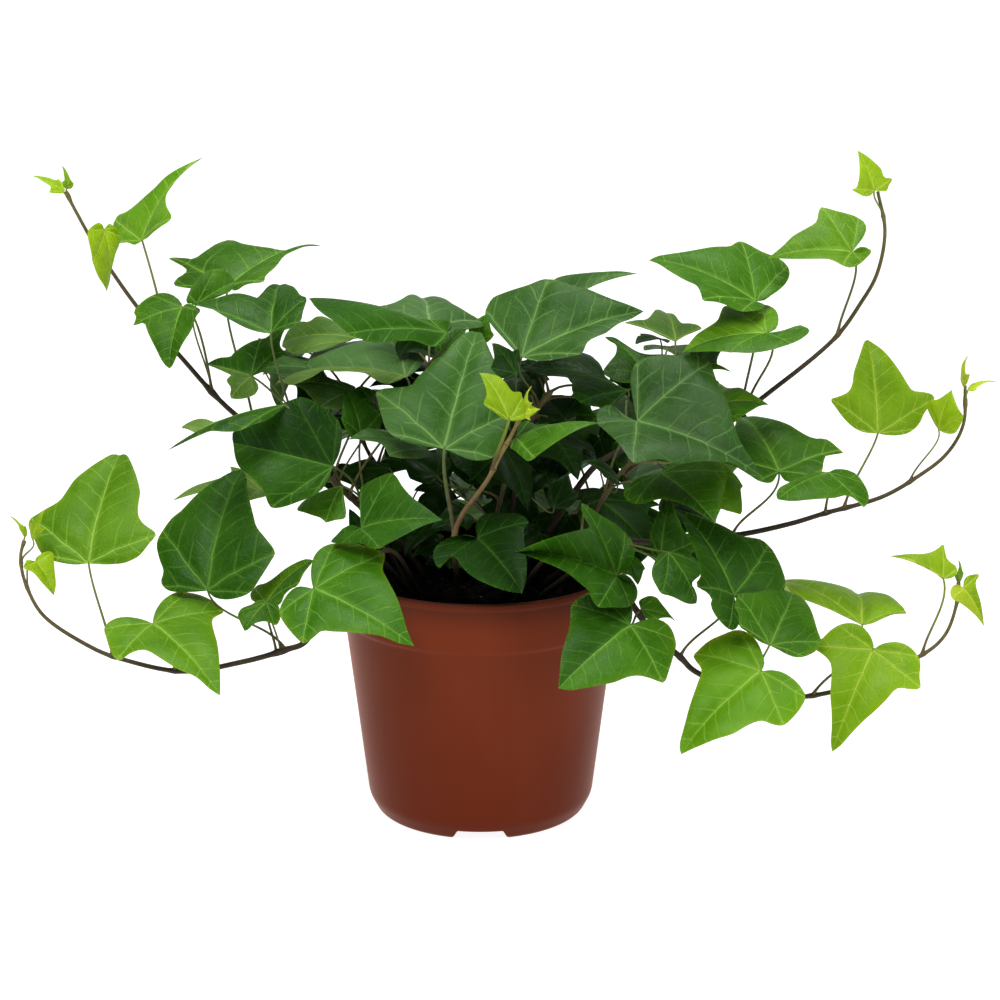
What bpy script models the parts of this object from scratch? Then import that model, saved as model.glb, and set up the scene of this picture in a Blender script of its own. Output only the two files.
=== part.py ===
"""Potted english ivy in a plastic nursery pot, as closed solids in metres with +Z up.

The pot stands on z = 0 with its axis on the origin. Leaves were read by eye from the photo, as the
places of the foot, the tip and the two side lobes of each blade, and are set in space from them.
"""
import math

import bmesh
import bpy
import numpy as np
from mathutils import Vector
from mathutils.bvhtree import BVHTree

for old in list(bpy.data.objects):
    bpy.data.objects.remove(old)

# Driving dimensions, in millimetres
POT_HEIGHT = 108.0
POT_RIM_RADIUS = 60.0
POT_BAND_HEIGHT = 22.0
POT_BASE_RADIUS = 47.0
POT_WALL = 1.8
FOOT_CORNER = 3.6
NOTCH_COUNT = 3
NOTCH_WIDTH = 23.4
NOTCH_SLANT = 2.6
NOTCH_HEIGHT = 4.4
NOTCH_DEPTH = 18.0
DRAIN_COUNT = 6
DRAIN_RING = 26.0
DRAIN_RADIUS = 3.5
SOIL_TOP = 97.0
SOIL_GAP = 0.6
BLADE = 0.7
PETIOLE_RADIUS = 0.75
HOLE_CLEARANCE = 0.5
STEM_SINK = 16.0

# The camera that the leaf readings belong to: distance, height angle and the point it looks at
VIEW_DISTANCE = 1300.0
VIEW_ANGLE = math.radians(16.0)
VIEW_AIM = np.array([8.3, 0.0, 135.2])
VIEW_LEVEL = 130.0
VIEW_RIGHT = np.array([1.0, 0.0, 0.0])
VIEW_UP = np.array([0.0, math.sin(VIEW_ANGLE), math.cos(VIEW_ANGLE)])
VIEW_BACK = np.array([0.0, -math.cos(VIEW_ANGLE), math.sin(VIEW_ANGLE)])
CAMERA = VIEW_AIM + VIEW_DISTANCE * VIEW_BACK

# Half outlines of the blade kinds, right side from the foot to the tip, for a blade of length one
KINDS = {
    "broad": [(0.20, -0.05), (0.38, -0.02), (0.55, 0.31), (0.36, 0.45), (0.27, 0.65), (0.12, 0.90)],
    "heart": [(0.13, -0.15), (0.34, -0.13), (0.54, 0.18), (0.33, 0.32), (0.22, 0.53), (0.10, 0.80)],
    "arrow": [(0.10, -0.12), (0.30, -0.13), (0.50, 0.15), (0.25, 0.28), (0.16, 0.50), (0.06, 0.80)],
    "plain": [(0.18, -0.06), (0.35, -0.02), (0.46, 0.33), (0.34, 0.48), (0.25, 0.64), (0.12, 0.86)],
    "young": [(0.10, -0.04), (0.24, 0.03), (0.36, 0.18), (0.17, 0.36), (0.08, 0.75)],
    "rear": [(0.16, -0.15), (0.43, -0.08), (0.54, 0.18), (0.24, 0.44)],
    "rear wide": [(0.18, -0.06), (0.42, 0.04), (0.52, 0.31), (0.34, 0.48), (0.20, 0.76)],
}
LOBES = {"broad": (0.55, 0.31), "heart": (0.54, 0.18), "arrow": (0.50, 0.15), "plain": (0.46, 0.33),
         "young": (0.36, 0.18), "rear": (0.54, 0.18), "rear wide": (0.52, 0.31)}

# Stems: hole in the soil (x, y), radius at the soil and at the end, then (across, up, depth)
STEMS = {
    "runner_upper_left": ((-24, 14), 1.9, 0.8, [
        (-42, 121, 16), (-72, 146, 20), (-103, 166, 20), (-127, 191.5, 20), (-144, 211, 18),
        (-160, 234, 15), (-170, 251.5, 12), (-174, 259.5, 10)]),
    "runner_lower_left": ((-30, -10), 1.9, 0.8, [
        (-48, 109, -26), (-60, 99, -38), (-67, 84, -43), (-73, 71, -44), (-82, 67, -44),
        (-100, 62, -42), (-125, 58, -38), (-150, 63, -32), (-165, 69, -28), (-183, 81, -24),
        (-191, 95, -20), (-193, 106, -18), (-191.5, 113, -16)]),
    "runner_upper_right": ((18, 14), 1.9, 0.8, [
        (40, 134, 10), (55, 149, 10), (85, 160, 12), (110, 168, 12), (125, 178, 14), (148, 197, 16),
        (160, 213, 16), (167, 226, 14), (170, 243, 12), (167, 259.5, 10)]),
    "runner_mid_right": ((28, 2), 1.9, 0.8, [
        (52, 112, -6), (80, 112, -10), (109, 115.5, -8), (130, 120, -2), (145, 124.5, 2),
        (168, 131, 6), (184, 140, 8), (196, 149.5, 8), (203, 162, 8), (203.7, 178, 8)]),
    "runner_lower_right": ((26, -16), 1.9, 0.8, [
        (46, 103, -32), (57, 96, -42), (64, 86, -47), (72, 75, -50), (84, 64, -52), (92, 57, -52),
        (115, 47.5, -48), (137, 47.5, -44), (160, 53, -36), (184, 64, -28), (195, 73, -24),
        (200, 86, -20), (201, 97, -18)]),
    "stem_left": ((-32, 4), 1.8, 1.0, [(-46, 122, 2), (-58, 134, 0), (-74, 152, 0)]),
    "stem_top": ((-8, 16), 1.8, 1.0, [(-12, 130, 20), (-20, 165, 22), (-22, 188, 22)]),
    "stem_top_right": ((10, 18), 1.8, 1.0, [(14, 130, 20), (20, 160, 20), (30, 176, 18)]),
    "stem_right": ((34, -8), 1.8, 1.0, [(48, 124, -12), (58, 140, -12), (68, 150, -12)]),
    "stem_front_right": ((14, -26), 1.8, 1.0, [(28, 106, -36), (42, 110, -42), (58, 108, -42)]),
    "stem_centre": ((4, -4), 1.8, 1.0, [(6, 118, -4), (10, 136, -4), (14, 150, -2)]),
    "shoot_front": ((-9, -16), 1.7, 0.9, [
        (-11, 112, -24), (-8, 123, -27), (0, 134, -31), (4, 140, -33), (8, 148, -35),
        (13, 157, -37), (17, 165, -38)]),
    "stem_front_left": ((-24, -24), 1.8, 1.0, [(-36, 108, -34), (-50, 105, -44), (-62, 99, -51)]),
}

# Leaves: kind, where the stalk leaves the stem, foot, tip, one lobe, other lobe, depth
LEAVES = {
    "shoot_front": [
        ("plain", (-11, 113), (-15, 151.5), (-1, 202), (-43.5, 175), (13, 165), -30),
        ("arrow", (5, 143), (12, 163.5), (0, 184), (1, 170.5), (17.5, 175), -46),
        ("young", (17, 164), (18.5, 167), (21.3, 178), (19, 171), (22.2, 171), -41),
        ("young", (16, 163), (19, 165.5), (25, 168.3), (21, 169.8), (21, 163.6), -43),
        ("plain", (11, 153), (15, 156), (49, 163), (31, 164), (21, 146), -38),
    ],
    "runner_upper_left": [
        ("young", (-173, 257), (-175, 259.5), (-188, 266), (-181, 259.5), (-177.5, 265), 8),
        ("young", (-173.5, 259), (-173.5, 261), (-175.5, 270.5), (-175.8, 263.5), (-170.5, 263), 12),
        ("heart", (-158, 231), (-158, 243.5), (-156.7, 217.5), (-151.5, 240.5), (-165, 241.5), 7),
        ("arrow", (-133, 198), (-142, 239), (-117, 275.5), (-154, 246.5), (-130, 248.5), 24),
        ("heart", (-112, 176), (-125, 211), (-131, 186), (-145.5, 209), (-117.5, 209.5), 4),
        ("arrow", (-95, 161), (-106, 219), (-65.5, 239), (-131, 230), (-91, 220.5), 32),
        ("plain", (-112, 176), (-119, 212.5), (-103, 222), (-113, 228), (-104, 214), 14),
        ("broad", (-76, 149), (-88, 200), (-84, 222.5), (-122.5, 213), (-73, 214.5), -4),
    ],
    "runner_lower_left": [
        ("plain", (-82, 67.5), (-114.5, 92), (-100.5, 144.5), (-135, 112), (-87, 109.5), -34),
        ("broad", (-155, 65), (-164.5, 103.5), (-151.5, 150), (-189.5, 121), (-136, 115.5), -26),
        ("heart", (-128, 58.5), (-137.5, 78), (-110, 48.5), (-107.5, 82), (-151, 63.5), -47),
        ("heart", (-190, 93), (-186.5, 104), (-179, 90), (-180, 107.5), (-191.5, 102.5), -27),
        ("young", (-192, 104), (-188, 113.5), (-183, 126), (-189, 121.5), (-182.5, 118.5), -30),
        ("young", (-191.5, 112), (-191.3, 114.5), (-197.5, 123.5), (-194, 118), (-190.7, 119), -13),
        ("arrow", (-86, 66), (-90, 86.5), (-70, 105), (-96.5, 93), (-78.5, 88), -36),
        ("heart", (-84, 66.5), (-90, 87), (-99, 75.5), (-101.5, 85), (-85.5, 78), -44),
    ],
    "runner_upper_right": [
        ("heart", (168.5, 249), (165.5, 260), (158.5, 277), (156, 261), (172.5, 265), 5),
        ("heart", (150, 200), (156, 234), (121, 232), (144, 252), (149, 228), 17),
        ("heart", (110, 168), (115.5, 213.5), (71, 232), (94, 213.5), (110, 239), 4),
        ("heart", (112, 170), (120, 200), (85, 192.5), (103, 210), (110, 191.5), -10),
        ("young", (85, 160), (82, 196.5), (77.5, 209), (60, 204.5), (94, 201.8), 24),
    ],
    "runner_mid_right": [
        ("broad", (152, 126.5), (167, 158), (163, 197.5), (147, 172), (189.5, 174.5), 4),
        ("heart", (107, 115.5), (125.5, 142), (109, 167), (99, 147), (150, 153), -16),
        ("heart", (146, 125), (146, 141.5), (125.5, 131), (161, 127.5), (138, 144), -22),
        ("heart", (180, 138), (192.5, 159.5), (198, 176.3), (187.5, 170), (203, 164.5), 0),
        ("young", (203.5, 170), (203, 178), (204.5, 191), (201.7, 183), (206, 183), 6),
        ("young", (203.6, 172), (205, 176.5), (216.5, 180), (208, 179.5), (208.5, 176), 3),
    ],
    "runner_lower_right": [
        ("heart", (84, 64), (106.5, 90), (82, 128), (91, 94.5), (127, 104), -42),
        ("heart", (140, 48.5), (165, 67), (148, 24.5), (139, 68), (185, 51), -46),
        ("heart", (100, 53), (118, 58), (84.5, 24.5), (89.5, 65), (128, 36), -62),
        ("heart", (112, 49), (121.5, 69), (132, 92), (108, 88), (142, 71), -56),
        ("heart", (66, 83), (63, 77.5), (33.5, 51.5), (39, 85), (77, 54.5), -67),
        ("heart", (168, 56), (160.5, 77.5), (158, 92), (126, 93), (178, 84), -34),
        ("arrow", (185, 65), (194.5, 97), (172, 106.5), (187, 100.5), (194.5, 112), -19),
        ("arrow", (200, 88), (203, 93), (212, 77), (209.5, 98), (197, 90), -27),
        ("young", (201, 94), (201, 95.5), (201, 105), (198.8, 99.5), (203.2, 99.5), -16),
        ("heart", (72, 75), (67.5, 84), (82.5, 79.5), (75, 90), (77, 77), -42),
    ],
    "stem_front_left": [
        ("heart", (-60, 100), (-70, 92.5), (-28.5, 69), (-40.5, 106.5), (-74, 70.5), -60),
        ("heart", (-40, 107), (-50, 118), (-16.5, 122), (-37, 141.5), (-44, 110), -42),
    ],
    "stem_front_right": [
        ("heart", (50, 109), (57, 98), (16.5, 109), (50, 84.5), (42, 127), -50),
        ("heart", (42, 110), (50, 130), (75, 104), (76, 128), (46, 112), -30),
        ("heart", (58, 108), (79, 108), (91, 87), (92, 103), (72, 96), -34),
        ("plain", (55, 108), (76, 106), (80, 129.5), (71.5, 116), (90, 112), -28),
    ],
    "stem_centre": [
        ("heart", (6, 118), (-1, 114), (17, 92), (21, 121), (-18, 103), -30),
        ("heart", (12, 142), (10, 152), (20, 126), (24, 141), (-6, 137), -6),
        ("heart", (14, 150), (30, 157), (41, 139), (49, 150), (19, 146), -2),
        ("plain", (8, 128), (-18, 140), (-34, 150), (-30, 139), (-16, 151), 2),
    ],
    "stem_left": [
        ("heart", (-50, 125), (-62, 144), (-104, 154), (-87, 127), (-75, 172), -26),
        ("heart", (-72, 149), (-96, 182), (-115.5, 187), (-104, 173), (-91, 198), -4),
        ("arrow", (-74, 152), (-82, 170), (-130.5, 151.5), (-113, 167), (-90, 148), -10),
        ("heart", (-56, 132), (-31, 181.5), (-87, 181), (-46, 178), (-30, 196), 2),
        ("plain", (-50, 125), (-58, 136), (-77.5, 127), (-65, 121.5), (-62, 134), -16),
        ("arrow", (-60, 136), (-92, 134), (-129, 130.5), (-106, 144), (-97, 130), 10),
        ("plain", (-48, 124), (-50, 157), (-57, 177), (-59, 164), (-42, 166), 12),
    ],
    "stem_top": [
        ("plain", (-22, 188), (-14, 200), (-72, 214.5), (-44, 195), (-48, 212), 10),
        ("plain", (-20, 170), (-47, 197), (-83.5, 197), (-76, 190.5), (-69, 208), 22),
        ("plain", (-21, 180), (-21, 202), (-26, 216), (-49, 211), (0, 204.5), 34),
        ("plain", (-16, 150), (-22, 151), (-55, 156), (-42, 159.5), (-38, 149), 14),
    ],
    "stem_top_right": [
        ("plain", (24, 168), (17.5, 190), (69, 209.5), (27, 223), (45, 190), -2),
        ("arrow", (30, 176), (22, 203), (66, 226), (33, 224.5), (45, 217), 14),
        ("plain", (26, 170), (62, 176), (18, 186), (43, 191), (38, 171), 12),
        ("plain", (30, 176), (70, 182), (52, 199.5), (56, 185), (80, 191), 20),
    ],
    "stem_right": [
        ("broad", (52, 130), (66, 163), (118, 141), (94, 189), (64, 146), -30),
        ("arrow", (66, 148), (92, 168), (121, 171), (105, 178), (104, 163), -4),
        ("arrow", (66, 148), (84, 184), (105.5, 184.5), (96, 189), (94, 180), -8),
        ("plain", (54, 134), (76, 141), (98, 121.5), (102, 144), (70, 126), -12),
        ("heart", (60, 142), (90, 146), (110.5, 136), (104, 148), (99, 130), -2),
    ],
}

# Rear stems, which the photo doesn't show, in the same form
REAR_STEMS = {
    "stem_back_left": ((-20, 32), 1.8, 1.0, [(-34, 130, 44), (-48, 152, 52), (-56, 176, 52)]),
    "stem_back": ((4, 36), 1.8, 1.0, [(6, 132, 50), (8, 156, 60), (10, 180, 60)]),
    "stem_back_right": ((26, 28), 1.8, 1.0, [(44, 128, 40), (64, 144, 48), (80, 158, 50)]),
}
# Their leaves: how many each carries to the rear and over the soil, and how many draws each is chosen
# from. The crown's filling is judged at steps of the view, and nothing stands nearer than the front
REAR_LEAVES = 11
INNER_LEAVES = 5
REAR_SEED = 20
DRAWS = 120
CELL = 4.0
INNER_FRONT = 2.0
# The crown's outline in the view and the openings seen through it, which rear leaves keep out of
CROWN = np.array([
    (-102, 152), (-101, 164), (-83, 173), (-96, 181), (-104, 188), (-88, 199), (-82, 205), (-72, 211),
    (-50, 210), (-32, 213), (-18, 213), (0, 203), (6, 212), (28, 220), (50, 213), (66, 209), (62, 199),
    (80, 204), (100, 208), (120, 204), (120, 194), (98, 190), (106, 176), (110, 165), (128, 160),
    (144, 152), (140, 142), (122, 140), (104, 145), (108, 136), (98, 122), (112, 113), (124, 104),
    (124, 94), (110, 80), (96, 92), (90, 92), (74, 92), (60, 86), (50, 96), (20, 100), (-20, 100),
    (-40, 110), (-60, 106), (-60, 118), (-74, 128), (-88, 128), (-92, 142)], float)
OPENINGS = np.array([
    (-50, 150, 7), (-53, 131, 6), (-26, 137, 7), (-35, 137, 4), (50, 138, 7), (33, 179, 6), (51, 190, 8),
    (8, 196, 7), (70, 97, 7), (75, 131, 5), (-54, 180, 6), (-53, 197, 6), (-64, 175, 3), (-72, 209, 5),
    (-85, 197, 5), (-20, 193, 4), (38, 136, 4), (-66, 116, 6), (16, 189, 3), (102, 128, 5)], float)
# The pot's own outline in the view, which hides what hangs behind it
POT_SHADE = np.array([(-58, 103), (-54, 80), (-46, 14), (46, 14), (54, 80), (58, 103)], float)

ARCH = 0.07
FOLD = 0.20
PULL_LIMIT = 0.32
FAN_MIDDLE = 0.3
DEPTH_STEPS = [0.0] + [sign * 2.5 * step for step in range(1, 19) for sign in (1, -1)]
MM = 0.001


def unit(vector):
    """The vector at length one."""
    return vector / np.linalg.norm(vector)


def seen_point(across, up, depth):
    """The point at this depth (y) on the sight line through a place in the photo's view."""
    plane = VIEW_AIM + (across - VIEW_AIM[0]) * VIEW_RIGHT + (up - VIEW_LEVEL) * VIEW_UP
    reach = (CAMERA[1] - depth) / (CAMERA[1] - plane[1])
    return CAMERA + reach * (plane - CAMERA)


def view_place(points):
    """Where points in space are seen, as across and up in the photo's view."""
    ray = np.asarray(points) - CAMERA
    ray = ray * (-VIEW_DISTANCE / (ray @ VIEW_BACK))[..., None]
    return np.stack([ray @ VIEW_RIGHT + VIEW_AIM[0], ray @ VIEW_UP + VIEW_LEVEL], -1)


def outline(kind):
    """The closed blade outline: foot, right side, tip, left side."""
    right = KINDS[kind]
    return np.array([(0.0, 0.0)] + right + [(0.0, 1.0)] + [(-s, t) for s, t in reversed(right)])


class Blade:
    """One leaf blade: its foot, its length and its own right, forward and upper directions."""

    def __init__(self, kind, foot, size, right, forward):
        """Keep the pose; the upper side is right crossed with forward."""
        self.kind, self.foot, self.size = kind, foot, size
        self.right, self.forward = right, forward
        self.upper = np.cross(right, forward)
        self.pulls = np.zeros((2, 3))

    def surface(self, flat):
        """Points of the bent blade for flat places (s across, t along) of a blade of length one."""
        s, t = flat[:, 0], flat[:, 1]
        half, along = LOBES[self.kind]
        lift = ARCH * np.where(t > 0, 4 * t * (1 - t), 2 * t) + FOLD * (abs(s) - s * s / half)
        share = abs(s) / half * np.clip((1 - t) / (1 - along), 0, 1)
        pulled = share[:, None] * self.pulls[(s > 0).astype(int)]
        return self.foot + pulled + self.size * (
            np.outer(s, self.right) + np.outer(t, self.forward) + np.outer(lift, self.upper))

    def pull_lobes(self, right, above, places, scale):
        """Draw the side lobes over to where they are seen, as the growing leaf has bent them."""
        half, along = LOBES[self.kind]
        lobes = self.surface(np.array([(-half, along), (half, along)]))
        miss = (np.array(places) - view_place(lobes)) * scale
        short = np.minimum(1, PULL_LIMIT * self.size / np.maximum(1e-6, np.linalg.norm(miss, axis=1)))
        miss = miss * short[:, None]
        self.pulls = np.outer(miss[:, 0], right) + np.outer(miss[:, 1], above)

    def rim(self):
        """The bent outline in space."""
        return self.surface(outline(self.kind))


def read_blade(kind, foot, tip, one, two, depth):
    """The blade whose foot, tip and side lobes are seen at these places, facing up where it can."""
    foot, tip, one, two = (np.array(place, float) for place in (foot, tip, one, two))
    point = seen_point(foot[0], foot[1], depth)
    near = unit(CAMERA - point)
    right = unit(np.cross(VIEW_UP, near))
    above = np.cross(near, right)
    scale = (CAMERA - point) @ VIEW_BACK / VIEW_DISTANCE
    along = (tip - foot) * scale
    wide = (two - one) * scale / (2 * LOBES[kind][0])
    if wide[0] * along[1] < wide[1] * along[0]:
        wide, one, two = -wide, two, one
    p, q, r = along @ along, wide @ wide, along @ wide
    size = math.sqrt((p + q + math.sqrt((p - q) ** 2 + 4 * r * r)) / 2)
    poses = []
    for lean in (1, -1):
        toward = lean * math.sqrt(max(0.0, 1 - p / size ** 2))
        roll = -lean * math.copysign(math.sqrt(max(0.0, 1 - q / size ** 2)), r)
        forward = unit((along[0] * right + along[1] * above) / size + toward * near)
        side = unit((wide[0] * right + wide[1] * above) / size + roll * near)
        side = unit(side - (side @ forward) * forward)
        poses.append(Blade(kind, point, size, side, forward))
    chosen = max(poses, key=lambda blade: blade.upper[2])
    chosen.pull_lobes(right, above, [one, two], scale)
    return chosen


def smooth_path(points, steps):
    """A Catmull-Rom path through the points, cut into the given steps a span."""
    points = np.asarray(points, float)
    padded = np.vstack([2 * points[0] - points[1], points, 2 * points[-1] - points[-2]])
    t = np.linspace(0, 1, steps, endpoint=False)[:, None]
    path = []
    for a, b, c, d in zip(padded, padded[1:], padded[2:], padded[3:]):
        path.append(0.5 * (2 * b + (c - a) * t + (2 * a - 5 * b + 4 * c - d) * t ** 2
                           + (3 * b - a - 3 * c + d) * t ** 3))
    return np.vstack(path + [points[-1:]])


def stem_path(hole, places, steps=1):
    """The stem's centre line from the bottom of its hole through its places in the view."""
    top = np.array([hole[0], hole[1], SOIL_TOP + 1.5])
    bottom = np.array([hole[0], hole[1], SOIL_TOP - STEM_SINK])
    seen = [seen_point(*place) for place in places]
    return np.vstack([bottom, smooth_path([top] + seen, steps)])


def petiole_path(start, blade, sag, segments=3):
    """The leaf stalk from its place on the stem into the blade's foot, coming up from below it."""
    foot = blade.foot
    span = np.linalg.norm(foot - start)
    arrive = unit(0.55 * blade.forward + 0.85 * blade.upper)
    leave = unit(0.5 * unit(foot - start) + np.array([0, 0, 0.7]))
    first = start + leave * span * 0.30
    second = foot - arrive * min(span * 0.35, 14.0) * sag
    t = np.linspace(0, 1, segments)[:, None]
    path = ((1 - t) ** 3 * start + 3 * t * (1 - t) ** 2 * first
            + 3 * t * t * (1 - t) * second + t ** 3 * foot)
    middle = blade.surface(np.array([[0.0, FAN_MIDDLE]]))[0]
    return np.vstack([path, foot + (middle - foot) * 2.6 / (FAN_MIDDLE * blade.size)])


def blade_guard(blade, gap):
    """A slab around the blade, for telling when another piece comes too near."""
    rim = np.vstack([blade.rim(), blade.surface(np.array([[0.0, FAN_MIDDLE]]))])
    last = len(rim) - 1
    points = np.vstack([rim + blade.upper * gap, rim - blade.upper * gap])
    faces = []
    for i in range(last):
        j = (i + 1) % last
        faces += [(last, i, j), (2 * last + 1, j + last + 1, i + last + 1),
                  (i, i + last + 1, j), (j, i + last + 1, j + last + 1)]
    return points, faces


def pot_guard():
    """A shell just outside the pot and over the soil, for the same."""
    rings = [(POT_BASE_RADIUS + 1, 0.0), (POT_RIM_RADIUS + 1, POT_HEIGHT - POT_BAND_HEIGHT),
             (POT_RIM_RADIUS + 1, POT_HEIGHT + 1), (POT_RIM_RADIUS - 4, POT_HEIGHT + 1),
             (POT_RIM_RADIUS - 4, SOIL_TOP + 0.7), (0.1, SOIL_TOP + 0.7)]
    turns = np.linspace(0, 2 * math.pi, 24, endpoint=False)
    points = [(radius * math.cos(turn), radius * math.sin(turn), height)
              for radius, height in rings for turn in turns]
    faces = []
    for row in range(len(rings) - 1):
        for k in range(24):
            a, b = 24 * row + k, 24 * row + (k + 1) % 24
            faces += [(a, b, a + 24), (b, b + 24, a + 24)]
    return np.array(points), faces


def tube_guard(path, radius):
    """A four sided tube around a path, for the same."""
    rings, faces = [], []
    for i, point in enumerate(path):
        ahead = unit(path[min(i + 1, len(path) - 1)] - path[max(i - 1, 0)])
        aside = unit(np.cross(ahead, [0.31, 0.52, 0.79]))
        other = np.cross(ahead, aside)
        rings += [point + radius * aside, point + radius * other, point - radius * aside,
                  point - radius * other]
    for i in range(len(path) - 1):
        for k in range(4):
            a, b = 4 * i + k, 4 * i + (k + 1) % 4
            faces += [(a, b, a + 4), (b, b + 4, a + 4)]
    return np.array(rings), faces


class Room:
    """What has been placed so far, to keep new leaves clear of it."""

    def __init__(self):
        """Start with nothing placed."""
        self.items = []

    def item(self, node, sort, guard):
        """A guard with its box and its search tree."""
        points, faces = guard
        tree = BVHTree.FromPolygons([tuple(p) for p in points], faces)
        return node, sort, points.min(0), points.max(0), tree

    def clashes(self, new):
        """How badly a new item comes too near the placed ones, weighed by what it meets."""
        node, sort, low, high, tree = new
        worst = 0
        for other, kind, other_low, other_high, other_tree in self.items:
            if (low > other_high).any() or (high < other_low).any():
                continue
            if other == node and "blade" not in (sort, kind):
                continue
            if other == node and kind == "stem":
                continue
            if tree.overlap(other_tree):
                worst += 1 if other == node else 10
        return worst


def even_points(path):
    """Places along a stem above the soil, ten to each of its straight runs."""
    share = np.linspace(0, 1, 10, endpoint=False)[:, None]
    return np.vstack([a + (b - a) * share for a, b in zip(path[1:], path[2:])])


def nearest_on(path, place):
    """The point of a stem that is seen nearest to a place in the view."""
    fine = even_points(path)
    gaps = np.linalg.norm(view_place(fine) - np.array(place, float), axis=1)
    return fine[int(np.argmin(gaps))]


def settle(room, node, path, start, pose_at):
    """Place one leaf and its stalk at the first depth where both are clear of what stands there."""
    best = None
    for shift in DEPTH_STEPS:
        blade = pose_at(shift)
        slab = room.item(node, "blade", blade_guard(blade, 0.85))
        cost = room.clashes(slab)
        if best is not None and cost >= best[0]:
            continue
        for sag in (1.0, 0.3, 1.8, -0.6):
            stalk = petiole_path(start, blade, sag)
            tube = room.item(node, "stalk", tube_guard(stalk[:-1], PETIOLE_RADIUS + 0.5))
            total = cost + room.clashes(tube) + abs(shift) * 0.001
            if best is None or total < best[0]:
                best = (total, blade, stalk, slab, tube)
            if total < 1:
                break
        if best[0] < 1:
            break
    room.items += [best[3], best[4]]
    return best[1], best[2]


def hidden(rim, stalk):
    """Whether a rear leaf shows within the crown's outline and leaves its openings free."""
    points = np.vstack([rim, stalk])
    shown = view_place(points)
    behind = inside(POT_SHADE, shown) & (points[:, 1].min() > POT_RIM_RADIUS)
    if not (inside(CROWN, shown) | behind).all():
        return False
    rim, stalk = shown[:len(rim)], shown[len(rim):]
    edge = np.vstack([rim, (rim + np.roll(rim, 1, 0)) / 2, stalk])
    gaps = np.linalg.norm(edge[:, None] - OPENINGS[None, :, :2], axis=2)
    return not ((gaps < OPENINGS[:, 2]).any() or inside(rim, OPENINGS[:, :2]).any())


def crown_cells():
    """Places of the view at even steps within the crown and out of its openings."""
    across, up = np.meshgrid(np.arange(-132.0, 148.0, CELL), np.arange(92.0, 224.0, CELL))
    cells = np.stack([across.ravel(), up.ravel()], 1)
    clear = np.linalg.norm(cells[:, None] - OPENINGS[None, :, :2], axis=2) > OPENINGS[:, 2]
    return cells[inside(CROWN, cells) & clear.all(1)]


def inside(polygon, places):
    """Whether each place lies within a closed polygon of the view."""
    x, y = places[:, 0][:, None], places[:, 1][:, None]
    ax, ay = polygon[:, 0], polygon[:, 1]
    bx, by = np.roll(ax, -1), np.roll(ay, -1)
    cross = ((ay > y) != (by > y)) & (x < (bx - ax) * (y - ay) / (by - ay + 1e-12) + ax)
    return cross.sum(1) % 2 == 1


def rear_pose(rng, path, inner):
    """A leaf for the rear: foot out from the stem, blade turned outward and up, tip hanging.

    An inner leaf stands on the stem's other side, over the soil, and turns its face to the front.
    """
    turn = math.radians(rng.uniform(185, 355) if inner else rng.uniform(10, 170))
    out = np.array([math.cos(turn), math.sin(turn), 0.0])
    choices = even_points(path)[3 if inner else 6:]
    index = rng.integers(len(choices) - 1)
    start = choices[index] + (choices[index + 1] - choices[index]) * rng.uniform(0.1, 0.9)
    reach = rng.uniform(6, 34) if inner else rng.uniform(12, 52)
    foot = start + out * reach + np.array([0, 0, rng.uniform(-24, 34)])
    upper = unit(out * rng.uniform(0.25, 1.2) + np.array([rng.normal(0, 0.25), 0, 0.8]))
    forward = out - np.array([0, 0, rng.uniform(0.0, 1.2)]) + rng.normal(0, 0.35, 3)
    forward = unit(forward - (forward @ upper) * upper)
    kind = ["rear", "rear wide"][rng.integers(2)]
    size = rng.uniform(24, 50)
    return start, Blade(kind, foot, size, np.cross(forward, upper), forward)


def fill_rear(room, plant):
    """Give the rear stems their leaves, each the one of many draws that fills most of the crown.

    A leaf stays clear of what stands there and behind every leaf that was read from the photo.
    """
    rng, cells = np.random.default_rng(REAR_SEED), crown_cells()
    filled, limit = np.zeros(len(cells), bool), np.full(len(cells), np.inf)
    for stem in plant.values():
        for blade, _ in stem["leaves"]:
            rim = blade.rim()
            shown = inside(view_place(rim), cells)
            filled |= shown
            limit[shown] = np.minimum(limit[shown], rim[:, 1].mean())
    limit[np.isinf(limit)] = INNER_FRONT
    for count in range(REAR_LEAVES + INNER_LEAVES):
        for name in REAR_STEMS:
            draws = []
            for _ in range(DRAWS):
                start, blade = rear_pose(rng, plant[name]["path"], count >= REAR_LEAVES)
                stalk, rim = petiole_path(start, blade, 1.0), blade.rim()
                if not hidden(rim, stalk):
                    continue
                shown = inside(view_place(rim), cells)
                if rim[:, 1].min() > INNER_FRONT and (rim[:, 1].mean() > limit[shown]).all():
                    draws.append(((shown & ~filled).sum(), blade, stalk, shown))
            draws.sort(key=lambda draw: -draw[0])
            for _, blade, stalk, shown in draws:
                slab = room.item(name, "blade", blade_guard(blade, 0.85))
                tube = room.item(name, "stalk", tube_guard(stalk[:-1], PETIOLE_RADIUS + 0.5))
                if not (room.clashes(slab) or room.clashes(tube)):
                    room.items += [slab, tube]
                    plant[name]["leaves"].append((blade, stalk))
                    filled |= shown
                    break


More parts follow.
